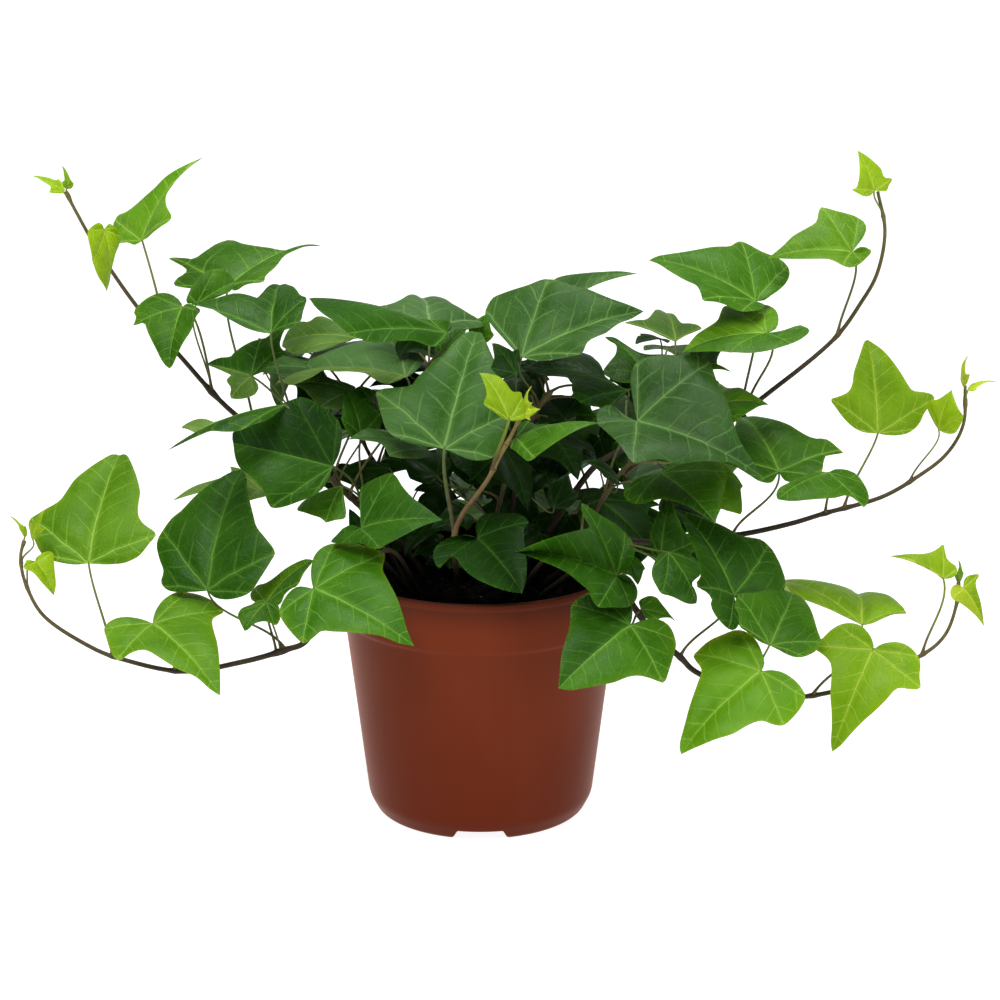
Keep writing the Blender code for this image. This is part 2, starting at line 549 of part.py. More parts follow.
def grow():
    """Every stem with its path, radii, blades and stalks."""
    room, plant = Room(), {}
    room.items.append(room.item("pot", "pot", pot_guard()))
    for name, (hole, thick, thin, places) in {**STEMS, **REAR_STEMS}.items():
        path = stem_path(hole, places)
        plant[name] = {"path": path, "radii": (thick, thin), "leaves": []}
        room.items.append(room.item(name, "stem", tube_guard(path[1:], thick + 0.5)))
    for name, leaves in LEAVES.items():
        for kind, start_place, foot, tip, one, two, depth in leaves:
            start = nearest_on(plant[name]["path"], start_place)
            plant[name]["leaves"].append(settle(
                room, name, plant[name]["path"], start,
                lambda shift: read_blade(kind, foot, tip, one, two, depth + shift)))
    fill_rear(room, plant)
    return plant


def circle_mesh(corners):
    """A filled circle of triangles round a middle point, as a bmesh."""
    mesh = bmesh.new()
    bmesh.ops.create_circle(mesh, cap_ends=True, cap_tris=True, radius=1.0, segments=corners)
    return mesh


def blade_object(blade, group):
    """The blade as a fan of triangles given its thickness by Solidify."""
    rim = blade.rim()
    middle = blade.surface(np.array([[0.0, FAN_MIDDLE]]))[0]
    mesh = circle_mesh(len(rim))
    corners = [vertex for vertex in mesh.verts if vertex.co.length > 0.5]
    corners.sort(key=lambda vertex: math.atan2(vertex.co.y, vertex.co.x))
    for vertex in set(mesh.verts) - set(corners):
        vertex.co = Vector(middle * MM)
    for vertex, place in zip(corners, rim):
        vertex.co = Vector(place * MM)
    data = bpy.data.meshes.new("blade")
    mesh.to_mesh(data)
    mesh.free()
    piece = bpy.data.objects.new("blade", data)
    group.objects.link(piece)
    thick = piece.modifiers.new("thickness", "SOLIDIFY")
    thick.thickness = BLADE * MM
    thick.offset = 0.0
    return piece


def tube_object(name, path, radii, sides, group):
    """A round tube along a path, tapering between two radii, with closed ends."""
    curve = bpy.data.curves.new(name, "CURVE")
    curve.dimensions = "3D"
    curve.bevel_depth = MM
    curve.bevel_resolution = sides // 2 - 2
    curve.use_fill_caps = True
    line = curve.splines.new("POLY")
    line.points.add(len(path) - 1)
    lengths = np.concatenate([[0], np.cumsum(np.linalg.norm(np.diff(path, axis=0), axis=1))])
    widths = radii[0] + (radii[1] - radii[0]) * lengths / lengths[-1]
    widths[-1] = min(widths[-1], radii[2]) if len(radii) > 2 else widths[-1]
    for point, place, width in zip(line.points, path, widths):
        point.co = (*(place * MM), 1.0)
        point.radius = width
    holder = bpy.data.objects.new(name, curve)
    bpy.context.scene.collection.objects.link(holder)
    bpy.context.view_layer.update()
    mesh = bpy.data.meshes.new_from_object(holder.evaluated_get(bpy.context.evaluated_depsgraph_get()))
    bpy.data.objects.remove(holder)
    clean = bmesh.new()
    clean.from_mesh(mesh)
    bmesh.ops.remove_doubles(clean, verts=clean.verts, dist=1e-6)
    bmesh.ops.recalc_face_normals(clean, faces=clean.faces)
    clean.to_mesh(mesh)
    clean.free()
    piece = bpy.data.objects.new(name, mesh)
    group.objects.link(piece)
    return piece


def keep_largest(mesh):
    """Drop loose scraps and sealed hollows that the joining left."""
    body = bmesh.new()
    body.from_mesh(mesh)
    left, shells = set(body.verts), []
    while left:
        shell, edge = set(), [left.pop()]
        while edge:
            vertex = edge.pop()
            shell.add(vertex)
            for link in vertex.link_edges:
                other = link.other_vert(vertex)
                if other in left:
                    left.remove(other)
                    edge.append(other)
        shells.append(shell)
    shells.sort(key=len)
    for shell in shells[:-1]:
        bmesh.ops.delete(body, geom=list(shell), context="VERTS")
    body.to_mesh(mesh)
    body.free()


def leafy_stem(name, stem, color):
    """One leafy stem fused into one body."""
    group = bpy.data.collections.new(name + "_parts")
    bpy.context.scene.collection.children.link(group)
    base = tube_object(name, stem["path"], stem["radii"], 6, bpy.context.scene.collection)
    for blade, stalk in stem["leaves"]:
        blade_object(blade, group)
        tube_object("stalk", stalk, (PETIOLE_RADIUS * 1.15, PETIOLE_RADIUS * 0.8, 0.25), 4, group)
    join = base.modifiers.new("join", "BOOLEAN")
    join.operation = "UNION"
    join.operand_type = "COLLECTION"
    join.collection = group
    join.solver = "MANIFOLD"
    bpy.context.view_layer.update()
    mesh = bpy.data.meshes.new_from_object(base.evaluated_get(bpy.context.evaluated_depsgraph_get()))
    base.modifiers.clear()
    base.data = mesh
    for piece in list(group.objects):
        bpy.data.objects.remove(piece)
    bpy.data.collections.remove(group)
    keep_largest(mesh)
    paint(base, color, 0.5)
    return base


def paint(piece, color, roughness):
    """Give a piece its own plain finish."""
    finish = bpy.data.materials.new(piece.name)
    finish.use_nodes = True
    shader = finish.node_tree.nodes["Principled BSDF"]
    shader.inputs["Base Color"].default_value = (*color, 1.0)
    shader.inputs["Roughness"].default_value = roughness
    piece.data.materials.clear()
    piece.data.materials.append(finish)


def turned(name, profile, steps, group):
    """A profile of (radius, height) pairs turned about the pot's axis."""
    data = bpy.data.meshes.new(name)
    points = [(radius * MM, 0.0, height * MM) for radius, height in profile]
    data.from_pydata(points, [(i, i + 1) for i in range(len(points) - 1)], [])
    piece = bpy.data.objects.new(name, data)
    group.objects.link(piece)
    screw = piece.modifiers.new("turn", "SCREW")
    screw.steps = screw.render_steps = steps
    screw.use_merge_vertices = True
    screw.merge_threshold = 1e-5
    return piece


def cutter_group():
    """The collection that holds the cutting shapes out of sight."""
    group = bpy.data.collections.new("cutters")
    group.hide_render = True
    bpy.context.scene.collection.children.link(group)
    return group


def cut(piece, cutter):
    """Take a cutting shape out of a piece."""
    cutter.display_type = "WIRE"
    cutter.hide_render = True
    take = piece.modifiers.new("cut", "BOOLEAN")
    take.operation = "DIFFERENCE"
    take.object = cutter
    take.solver = "EXACT"


def cylinder(name, x, y, low, high, radius, sides, group):
    """An upright cylinder."""
    data = bpy.data.meshes.new(name)
    mesh = bmesh.new()
    bmesh.ops.create_cone(mesh, cap_ends=True, segments=sides, radius1=radius * MM,
                          radius2=radius * MM, depth=(high - low) * MM)
    bmesh.ops.translate(mesh, verts=mesh.verts, vec=(x * MM, y * MM, (low + high) / 2 * MM))
    mesh.to_mesh(data)
    mesh.free()
    piece = bpy.data.objects.new(name, data)
    group.objects.link(piece)
    return piece


def pot_radius(height):
    """The pot's outer radius under its band at a height."""
    top = POT_HEIGHT - POT_BAND_HEIGHT
    return POT_BASE_RADIUS + (POT_RIM_RADIUS - 2.4 - POT_BASE_RADIUS) * (height / top)


def make_pot(cutters):
    """The nursery pot: tapered wall, rim band, raised floor with drain holes and a notched foot."""
    band = POT_HEIGHT - POT_BAND_HEIGHT
    corner = [(POT_BASE_RADIUS - 1.0, 3.4), (POT_BASE_RADIUS - 2.4, 1.0),
              (POT_BASE_RADIUS - FOOT_CORNER, 0.0)]
    outer = [(POT_RIM_RADIUS - 0.7, POT_HEIGHT), (POT_RIM_RADIUS, POT_HEIGHT - 0.7),
             (POT_RIM_RADIUS, POT_HEIGHT - 3.0), (POT_RIM_RADIUS - 0.9, POT_HEIGHT - 3.8),
             (pot_radius(band) + 0.9, band + 0.8), (pot_radius(band), band), (pot_radius(7), 7.0)] + corner
    under = [(POT_BASE_RADIUS - 8.5, 0.0), (POT_BASE_RADIUS - 9.5, 4.6), (14.5, 4.6), (13.0, 0.0),
             (0.0, 0.0)]
    inner = [(0.0, 6.6), (POT_BASE_RADIUS - 5.5, 6.6), (pot_radius(10) - POT_WALL, 10.0),
             (pot_radius(band) - POT_WALL, band),
             (POT_RIM_RADIUS - POT_WALL - 0.7, POT_HEIGHT)]
    pot = turned("pot", outer + under + inner + [outer[0]], 40, bpy.context.scene.collection)
    for index in range(NOTCH_COUNT):
        turn = math.radians(-90 + 360 / NOTCH_COUNT * index)
        along, side = Vector((math.cos(turn), math.sin(turn), 0)), Vector((-math.sin(turn), math.cos(turn), 0))
        data = bpy.data.meshes.new("notch")
        mesh = bmesh.new()
        bmesh.ops.create_cube(mesh, size=1.0)
        for vertex in mesh.verts:
            width = NOTCH_WIDTH - (2 * NOTCH_SLANT if vertex.co.z > 0 else 0)
            place = (along * (POT_BASE_RADIUS - 5 + vertex.co.x * NOTCH_DEPTH)
                     + side * (vertex.co.y * width))
            vertex.co = Vector((place.x, place.y, NOTCH_HEIGHT if vertex.co.z > 0 else -2.0)) * MM
        mesh.to_mesh(data)
        mesh.free()
        notch = bpy.data.objects.new("notch", data)
        cutters.objects.link(notch)
        cut(pot, notch)
    for index in range(DRAIN_COUNT):
        turn = math.radians(-90 + 360 / DRAIN_COUNT * index)
        cut(pot, cylinder("drain", DRAIN_RING * math.cos(turn), DRAIN_RING * math.sin(turn), 2.0, 9.0,
                          DRAIN_RADIUS, 12, cutters))
    paint(pot, (0.168, 0.038, 0.018), 0.42)
    return pot


def make_soil(cutters):
    """The peat fill with a plain hole for each stem."""
    band = POT_HEIGHT - POT_BAND_HEIGHT
    gap = POT_WALL + SOIL_GAP
    profile = [(0.0, SOIL_TOP), (pot_radius(band) - gap - 1.6, SOIL_TOP),
               (pot_radius(band) - gap + 0.2, SOIL_TOP - 1.2),
               (pot_radius(band) - gap - 0.1, band - 0.1),
               (pot_radius(10) - gap - 0.1, 10.0), (POT_BASE_RADIUS - 6.2, 6.6 + SOIL_GAP),
               (0.0, 6.6 + SOIL_GAP)]
    soil = turned("soil", profile, 28, bpy.context.scene.collection)
    for name, stem in {**STEMS, **REAR_STEMS}.items():
        (x, y), thick = stem[0], stem[1]
        cut(soil, cylinder("hole_" + name, x, y, SOIL_TOP - STEM_SINK - 0.4, SOIL_TOP + 5,
                           thick + HOLE_CLEARANCE, 8, cutters))
    paint(soil, (0.012, 0.009, 0.007), 0.95)
    return soil


PLANT = grow()
CUTTERS = cutter_group()
make_pot(CUTTERS)
make_soil(CUTTERS)
for stem_name, stem_data in PLANT.items():
    leafy_stem(stem_name, stem_data, (0.05, 0.16, 0.03))
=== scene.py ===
"""Looks of the potted english ivy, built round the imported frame.

Every leaf is placed from the same readings and by the same rules as in the part's source, and is
then drawn as a fine, two faced, lobed surface with its own tone, ribs and waves. The pot, the peat
and the studio round them are made here as well. Lengths are in millimetres until they go into a mesh.
"""
import logging
import math
from dataclasses import dataclass, field
from enum import Enum
from typing import Callable, Sequence

import bmesh
import bpy
import numpy as np
from mathutils import Matrix, Vector
from mathutils.bvhtree import BVHTree


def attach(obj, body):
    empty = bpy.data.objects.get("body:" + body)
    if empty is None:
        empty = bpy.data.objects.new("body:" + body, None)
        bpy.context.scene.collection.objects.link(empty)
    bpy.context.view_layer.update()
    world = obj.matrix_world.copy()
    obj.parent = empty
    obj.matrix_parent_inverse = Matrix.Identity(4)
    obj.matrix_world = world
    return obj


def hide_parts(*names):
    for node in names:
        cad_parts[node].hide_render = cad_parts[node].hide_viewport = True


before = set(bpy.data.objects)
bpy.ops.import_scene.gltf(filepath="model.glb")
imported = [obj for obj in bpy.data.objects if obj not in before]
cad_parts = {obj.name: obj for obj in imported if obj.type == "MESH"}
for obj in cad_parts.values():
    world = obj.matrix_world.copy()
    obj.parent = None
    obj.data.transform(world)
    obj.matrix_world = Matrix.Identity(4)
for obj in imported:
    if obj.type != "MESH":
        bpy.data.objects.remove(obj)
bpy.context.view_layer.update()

LOG = logging.getLogger("ivy")
MM = 0.001
Array = np.ndarray

# Sizes that the part's source gives, in millimetres
POT_HEIGHT = 108.0
POT_RIM_RADIUS = 60.0
POT_BAND_HEIGHT = 22.0
POT_BASE_RADIUS = 47.0
SOIL_TOP = 97.0
PETIOLE_RADIUS = 0.75
STEM_SINK = 16.0


def unit(vector: Array) -> Array:
    """The vector at length one."""
    return vector / np.linalg.norm(vector)


def units(vectors: Array) -> Array:
    """Each vector of an array at length one."""
    return vectors / np.maximum(np.linalg.norm(vectors, axis=-1, keepdims=True), 1e-9)


def paint(red: float, green: float, blue: float) -> tuple[float, float, float, float]:
    """A colour given as it looks on a screen, 0 to 255, in the renderer's linear numbers.

    Args:
        red, green, blue: the screen's numbers.

    Returns:
        Linear red, green, blue and one for alpha.
    """
    shares = (np.array([red, green, blue]) / 255.0).tolist()
    linear = [s / 12.92 if s <= 0.04045 else ((s + 0.055) / 1.055) ** 2.4 for s in shares]
    return (linear[0], linear[1], linear[2], 1.0)


def linked(name: str, data: bpy.types.ID) -> bpy.types.Object:
    """A new object of the scene."""
    made = bpy.data.objects.new(name, data)
    bpy.context.scene.collection.objects.link(made)
    return made


# The camera that the leaf readings belong to


@dataclass(frozen=True)
class Eye:
    """The photo's camera: how far it stands, how high it looks from, and at what it looks."""

    distance: float = 1300.0
    height_angle: float = math.radians(16.0)
    aim: tuple[float, float, float] = (8.3, 0.0, 135.2)
    level: float = 130.0
    lens: float = 111.42

    @property
    def right(self) -> Array:
        """The view's direction to the right."""
        return np.array([1.0, 0.0, 0.0])

    @property
    def up(self) -> Array:
        """The view's direction upward."""
        return np.array([0.0, math.sin(self.height_angle), math.cos(self.height_angle)])

    @property
    def back(self) -> Array:
        """The direction from the object to the camera."""
        return np.array([0.0, -math.cos(self.height_angle), math.sin(self.height_angle)])

    @property
    def place(self) -> Array:
        """Where the camera stands."""
        return np.array(self.aim) + self.distance * self.back

    def ray(self, seen: Array) -> Array:
        """The sight lines through places in the view, from the camera to the aim's distance."""
        return (np.array(self.aim) - self.place + np.outer(seen[:, 0] - self.aim[0], self.right)
                + np.outer(seen[:, 1] - self.level, self.up))

    def seen_point(self, across: float, up: float, depth: float) -> Array:
        """The point at a depth (y) on the sight line through a place in the view.

        Args:
            across, up: the place in the view, in millimetres at the aim's distance.
            depth: the point's y.

        Returns:
            The point in space.
        """
        plane = np.array(self.aim) + (across - self.aim[0]) * self.right + (up - self.level) * self.up
        reach = (self.place[1] - depth) / (self.place[1] - plane[1])
        return self.place + reach * (plane - self.place)

    def view_place(self, points: Array) -> Array:
        """Where points in space are seen, as across and up in the view."""
        ray = np.asarray(points) - self.place
        ray = ray * (-self.distance / (ray @ self.back))[..., None]
        return np.stack([ray @ self.right + self.aim[0], ray @ self.up + self.level], -1)

    def build(self) -> None:
        """Make the camera and set it as the scene's."""
        data = bpy.data.cameras.new("photo_camera")
        data.lens = self.lens
        data.sensor_width = 36.0
        data.clip_start, data.clip_end = 0.05, 100.0
        camera = linked("photo_camera", data)
        camera.location = Vector(self.place * MM)
        camera.rotation_mode = "QUATERNION"
        camera.rotation_quaternion = Vector(-self.back).to_track_quat("-Z", "Y")
        bpy.context.scene.camera = camera


EYE = Eye()


# Shader nodes written as expressions


class Number:
    """A socket that carries a number, with arithmetic that adds Math nodes."""

    def __init__(self, shade: "Shade", socket: bpy.types.NodeSocket) -> None:
        """Keep the socket and the material that it belongs to."""
        self.shade, self.socket = shade, socket

    def math(self, operation: str, *others: "Number | float", first: "float | None" = None,
             clamp: bool = False) -> "Number":
        """One Math node.

        Args:
            operation: the node's operation.
            others: what follows this number in the node.
            first: a plain number that comes before this one.
            clamp: whether the result is held between 0 and 1.

        Returns:
            The node's result.
        """
        terms = ([] if first is None else [first]) + [self, *others]
        return self.shade.node("ShaderNodeMath", {"operation": operation, "use_clamp": clamp},
                               dict(enumerate(terms)))

    def __add__(self, other: "Number | float") -> "Number":
        """This plus the other."""
        return self.math("ADD", other)

    __radd__ = __add__

    def __sub__(self, other: "Number | float") -> "Number":
        """This less the other."""
        return self.math("SUBTRACT", other)

    def __rsub__(self, other: float) -> "Number":
        """The other less this."""
        return self.math("SUBTRACT", first=other)

    def __mul__(self, other: "Number | float") -> "Number":
        """This times the other."""
        return self.math("MULTIPLY", other)

    __rmul__ = __mul__

    def __truediv__(self, other: "Number | float") -> "Number":
        """This divided by the other."""
        return self.math("DIVIDE", other)

    def __abs__(self) -> "Number":
        """This without its sign."""
        return self.math("ABSOLUTE")

    def least(self, other: "Number | float") -> "Number":
        """The smaller of the two."""
        return self.math("MINIMUM", other)

    def most(self, other: "Number | float") -> "Number":
        """The larger of the two."""
        return self.math("MAXIMUM", other)

    def part(self) -> "Number":
        """What follows the point."""
        return self.math("FRACT")

    def held(self) -> "Number":
        """This held between 0 and 1."""
        return self.math("ADD", 0.0, clamp=True)

    def step(self, low: float, high: float) -> "Number":
        """A smooth rise from 0 at low to 1 at high, or a fall where low is the larger."""
        start, end, out = (low, high, (0.0, 1.0)) if low < high else (high, low, (1.0, 0.0))
        return self.shade.node("ShaderNodeMapRange", {"interpolation_type": "SMOOTHSTEP"},
                               {"Value": self, "From Min": start, "From Max": end,
                                "To Min": out[0], "To Max": out[1]})


class Shade:
    """A material in the making, with one call for any node."""

    def __init__(self, name: str) -> None:
        """Start a material that holds only its Principled shader and output."""
        self.material = bpy.data.materials.new(name)
        self.material.use_nodes = True
        self.tree = self.material.node_tree
        self.shader = self.tree.nodes["Principled BSDF"]

    def node(self, kind: str, settings: dict, values: dict, result: "str | int" = 0) -> Number:
        """Add a node.

        Args:
            kind: the node's type.
            settings: attributes to set first, with a ramp's stops as "stops".
            values: numbers, colours or results for its sockets, by name or index.
            result: which output to return.

        Returns:
            The output, as something to write expressions with.
        """
        made = self.tree.nodes.new(kind)
        for key, value in settings.items():
            if key == "stops":
                self._stops(made.color_ramp, value)
            else:
                setattr(made, key, value)
        for key, value in values.items():
            self.put(made.inputs[key], value)
        return Number(self, made.outputs[result])

    @staticmethod
    def _stops(ramp: bpy.types.ColorRamp, stops: Sequence[tuple[float, Sequence[float]]]) -> None:
        """Give a colour ramp its stops."""
        while len(ramp.elements) < len(stops):
            ramp.elements.new(1.0)
        for element, (place, color) in zip(ramp.elements, stops):
            element.position = place
            element.color = color

    def put(self, socket: bpy.types.NodeSocket, value: object) -> None:
        """Set a socket's value, or link a result to it."""
        if isinstance(value, Number):
            self.tree.links.new(value.socket, socket)
        else:
            socket.default_value = value

    def give(self, name: str, value: object) -> None:
        """Set a socket of the Principled shader, or link a result to it."""
        self.put(self.shader.inputs[name], value)

    def mix(self, share: "Number | float", first: object, second: object, blend: str = "MIX") -> Number:
        """Two colours mixed."""
        return self.node("ShaderNodeMix", {"data_type": "RGBA", "blend_type": blend},
                         {0: share, 6: first, 7: second}, 2)

    def attribute(self, name: str) -> Number:
        """A mesh attribute as a vector or colour."""
        return self.node("ShaderNodeAttribute", {"attribute_name": name}, {}, "Vector")

    def split(self, vector: Number) -> tuple[Number, Number, Number]:
        """The three numbers of a vector."""
        first = self.node("ShaderNodeSeparateXYZ", {}, {0: vector})
        owner = first.socket.node
        return first, Number(self, owner.outputs[1]), Number(self, owner.outputs[2])

    def join(self, x: "Number | float", y: "Number | float", z: "Number | float") -> Number:
        """A vector of three numbers."""
        return self.node("ShaderNodeCombineXYZ", {}, {0: x, 1: y, 2: z})

    def place(self) -> Number:
        """The point's place on the object, in metres."""
        return self.node("ShaderNodeTexCoord", {}, {}, "Object")

    def noise(self, where: Number, scale: float, detail: float = 2.0, rough: float = 0.5) -> Number:
        """Plain noise about 0.5."""
        return self.node("ShaderNodeTexNoise", {}, {"Vector": where, "Scale": scale, "Detail": detail,
                                                    "Roughness": rough})

    def bump(self, height: Number, strength: float, depth: float) -> None:
        """Let a height raise the surface."""
        raised = self.node("ShaderNodeBump", {}, {"Height": height, "Strength": strength,
                                                  "Distance": depth})
        self.give("Normal", raised)


# Leaf shapes and the readings that place them


class Kind(Enum):
    """The blade kinds of the plant."""

    BROAD = "broad"
    HEART = "heart"
    ARROW = "arrow"
    PLAIN = "plain"
    YOUNG = "young"
    REAR = "rear"
    REAR_WIDE = "rear wide"


class Tone(Enum):
    """How old and how lit a leaf is, from the palest young green to the darkest, then the greyed ones."""

    PALE = "p"
    LIME = "l"
    YELLOW = "y"
    BRIGHT = "b"
    MID = "m"
    FULL = "e"
    DEEP = "d"
    NIGHT = "n"
    GREY = "g"
    SLATE = "x"
    OLIVE = "o"
    SAGE = "s"
    DUSK = "u"


@dataclass(frozen=True)
class ToneColors:
    """One tone's colours: blade, ribs, underside, each as it looks on a screen."""

    blade: tuple[int, int, int]
    ribs: tuple[int, int, int]
    under: tuple[int, int, int]


TONE_COLORS: dict[Tone, ToneColors] = {
    Tone.PALE: ToneColors((160, 184, 34), (196, 206, 84), (150, 172, 60)),
    Tone.LIME: ToneColors((124, 158, 10), (172, 194, 66), (136, 164, 42)),
    Tone.YELLOW: ToneColors((104, 144, 8), (154, 182, 60), (118, 150, 44)),
    Tone.BRIGHT: ToneColors((80, 128, 8), (136, 174, 62), (100, 134, 42)),
    Tone.MID: ToneColors((50, 97, 6), (110, 154, 56), (82, 117, 42)),
    Tone.FULL: ToneColors((32, 72, 4), (84, 130, 44), (64, 98, 34)),
    Tone.DEEP: ToneColors((16, 46, 2), (52, 92, 26), (46, 80, 26)),
    Tone.NIGHT: ToneColors((12, 36, 2), (34, 70, 14), (28, 56, 16)),
    Tone.GREY: ToneColors((46, 84, 28), (104, 142, 72), (70, 102, 50)),
    Tone.SLATE: ToneColors((58, 94, 42), (114, 148, 86), (78, 110, 60)),
    Tone.OLIVE: ToneColors((66, 100, 34), (118, 146, 62), (82, 108, 46)),
    Tone.SAGE: ToneColors((88, 122, 44), (138, 160, 84), (112, 136, 66)),
    Tone.DUSK: ToneColors((38, 70, 24), (92, 128, 66), (62, 92, 44)),
}

# The part's half outlines, for telling which blade stands clear of which
GUARD_SHAPES: dict[Kind, list[tuple[float, float]]] = {
    Kind.BROAD: [(0.20, -0.05), (0.38, -0.02), (0.55, 0.31), (0.36, 0.45), (0.27, 0.65), (0.12, 0.90)],
    Kind.HEART: [(0.13, -0.15), (0.34, -0.13), (0.54, 0.18), (0.33, 0.32), (0.22, 0.53), (0.10, 0.80)],
    Kind.ARROW: [(0.10, -0.12), (0.30, -0.13), (0.50, 0.15), (0.25, 0.28), (0.16, 0.50), (0.06, 0.80)],
    Kind.PLAIN: [(0.18, -0.06), (0.35, -0.02), (0.46, 0.33), (0.34, 0.48), (0.25, 0.64), (0.12, 0.86)],
    Kind.YOUNG: [(0.10, -0.04), (0.24, 0.03), (0.36, 0.18), (0.17, 0.36), (0.08, 0.75)],
    Kind.REAR: [(0.16, -0.15), (0.43, -0.08), (0.54, 0.18), (0.24, 0.44)],
    Kind.REAR_WIDE: [(0.18, -0.06), (0.42, 0.04), (0.52, 0.31), (0.34, 0.48), (0.20, 0.76)],
}
LOBE_PLACES: dict[Kind, tuple[float, float]] = {
    Kind.BROAD: (0.55, 0.31), Kind.HEART: (0.54, 0.18), Kind.ARROW: (0.50, 0.15),
    Kind.PLAIN: (0.46, 0.33), Kind.YOUNG: (0.36, 0.18), Kind.REAR: (0.54, 0.18),
    Kind.REAR_WIDE: (0.52, 0.31)}

# The fine half outlines: from the foot to the side lobe's tip, then on to the leaf's tip
FINE_SHAPES: dict[Kind, tuple[list[tuple[float, float]], list[tuple[float, float]]]] = {
    Kind.BROAD: ([(0.0, 0.0), (0.04, -0.035), (0.12, -0.065), (0.22, -0.065), (0.32, -0.045),
                  (0.40, 0.01), (0.475, 0.12), (0.53, 0.23), (0.555, 0.31)],
                 [(0.555, 0.31), (0.49, 0.35), (0.41, 0.41), (0.345, 0.49), (0.29, 0.60),
                  (0.225, 0.72), (0.15, 0.84), (0.07, 0.945), (0.0, 1.0)]),
    Kind.HEART: ([(0.0, 0.0), (0.03, -0.05), (0.085, -0.125), (0.16, -0.17), (0.25, -0.175),
                  (0.34, -0.13), (0.42, -0.035), (0.495, 0.085), (0.545, 0.18)],
                 [(0.545, 0.18), (0.45, 0.215), (0.36, 0.275), (0.29, 0.37), (0.24, 0.48),
                  (0.195, 0.60), (0.14, 0.74), (0.075, 0.88), (0.0, 1.0)]),
    Kind.ARROW: ([(0.0, 0.0), (0.03, -0.045), (0.075, -0.11), (0.14, -0.155), (0.22, -0.165),
                  (0.305, -0.13), (0.385, -0.04), (0.455, 0.065), (0.505, 0.15)],
                 [(0.505, 0.15), (0.40, 0.18), (0.30, 0.235), (0.235, 0.33), (0.19, 0.45),
                  (0.145, 0.58), (0.095, 0.73), (0.045, 0.88), (0.0, 1.0)]),
    Kind.PLAIN: ([(0.0, 0.0), (0.04, -0.035), (0.11, -0.065), (0.20, -0.07), (0.29, -0.045),
                  (0.365, 0.02), (0.42, 0.13), (0.455, 0.24), (0.465, 0.33)],
                 [(0.465, 0.33), (0.425, 0.39), (0.365, 0.46), (0.305, 0.55), (0.25, 0.65),
                  (0.185, 0.77), (0.12, 0.87), (0.055, 0.95), (0.0, 1.0)]),
    Kind.YOUNG: ([(0.0, 0.0), (0.03, -0.025), (0.08, -0.05), (0.15, -0.04), (0.22, 0.0),
                  (0.29, 0.06), (0.335, 0.12), (0.36, 0.18)],
                 [(0.36, 0.18), (0.28, 0.225), (0.205, 0.30), (0.155, 0.41), (0.125, 0.55),
                  (0.085, 0.74), (0.04, 0.90), (0.0, 1.0)]),
}
FINE_SHAPES[Kind.REAR] = FINE_SHAPES[Kind.HEART]
FINE_SHAPES[Kind.REAR_WIDE] = FINE_SHAPES[Kind.BROAD]

Place = tuple[float, float]
StemReading = tuple[Place, float, float, list[tuple[float, float, float]]]

# Stems: hole in the soil (x, y), radius at the soil and at the end, then (across, up, depth)
STEMS: dict[str, StemReading] = {
    "runner_upper_left": ((-24, 14), 1.9, 0.8, [
        (-42, 121, 16), (-72, 146, 20), (-103, 166, 20), (-127, 191.5, 20), (-144, 211, 18),
        (-160, 234, 15), (-170, 251.5, 12), (-174, 259.5, 10)]),
    "runner_lower_left": ((-30, -10), 1.9, 0.8, [
        (-48, 109, -26), (-60, 99, -38), (-67, 84, -43), (-73, 71, -44), (-82, 67, -44),
        (-100, 62, -42), (-125, 58, -38), (-150, 63, -32), (-165, 69, -28), (-183, 81, -24),
        (-191, 95, -20), (-193, 106, -18), (-191.5, 113, -16)]),
    "runner_upper_right": ((18, 14), 1.9, 0.8, [
        (40, 134, 10), (55, 149, 10), (85, 160, 12), (110, 168, 12), (125, 178, 14), (148, 197, 16),
        (160, 213, 16), (167, 226, 14), (170, 243, 12), (167, 259.5, 10)]),
    "runner_mid_right": ((28, 2), 1.9, 0.8, [
        (52, 112, -6), (80, 112, -10), (109, 115.5, -8), (130, 120, -2), (145, 124.5, 2),
        (168, 131, 6), (184, 140, 8), (196, 149.5, 8), (203, 162, 8), (203.7, 178, 8)]),
    "runner_lower_right": ((26, -16), 1.9, 0.8, [
        (46, 103, -32), (57, 96, -42), (64, 86, -47), (72, 75, -50), (84, 64, -52), (92, 57, -52),
        (115, 47.5, -48), (137, 47.5, -44), (160, 53, -36), (184, 64, -28), (195, 73, -24),
        (200, 86, -20), (201, 97, -18)]),
    "stem_left": ((-32, 4), 1.8, 1.0, [(-46, 122, 2), (-58, 134, 0), (-74, 152, 0)]),
    "stem_top": ((-8, 16), 1.8, 1.0, [(-12, 130, 20), (-20, 165, 22), (-22, 188, 22)]),
    "stem_top_right": ((10, 18), 1.8, 1.0, [(14, 130, 20), (20, 160, 20), (30, 176, 18)]),
    "stem_right": ((34, -8), 1.8, 1.0, [(48, 124, -12), (58, 140, -12), (68, 150, -12)]),
    "stem_front_right": ((14, -26), 1.8, 1.0, [(28, 106, -36), (42, 110, -42), (58, 108, -42)]),
    "stem_centre": ((4, -4), 1.8, 1.0, [(6, 118, -4), (10, 136, -4), (14, 150, -2)]),
    "shoot_front": ((-9, -16), 1.7, 0.9, [
        (-11, 112, -24), (-8, 123, -27), (0, 134, -31), (4, 140, -33), (8, 148, -35),
        (13, 157, -37), (17, 165, -38)]),
    "stem_front_left": ((-24, -24), 1.8, 1.0, [(-36, 108, -34), (-50, 105, -44), (-62, 99, -51)]),
}

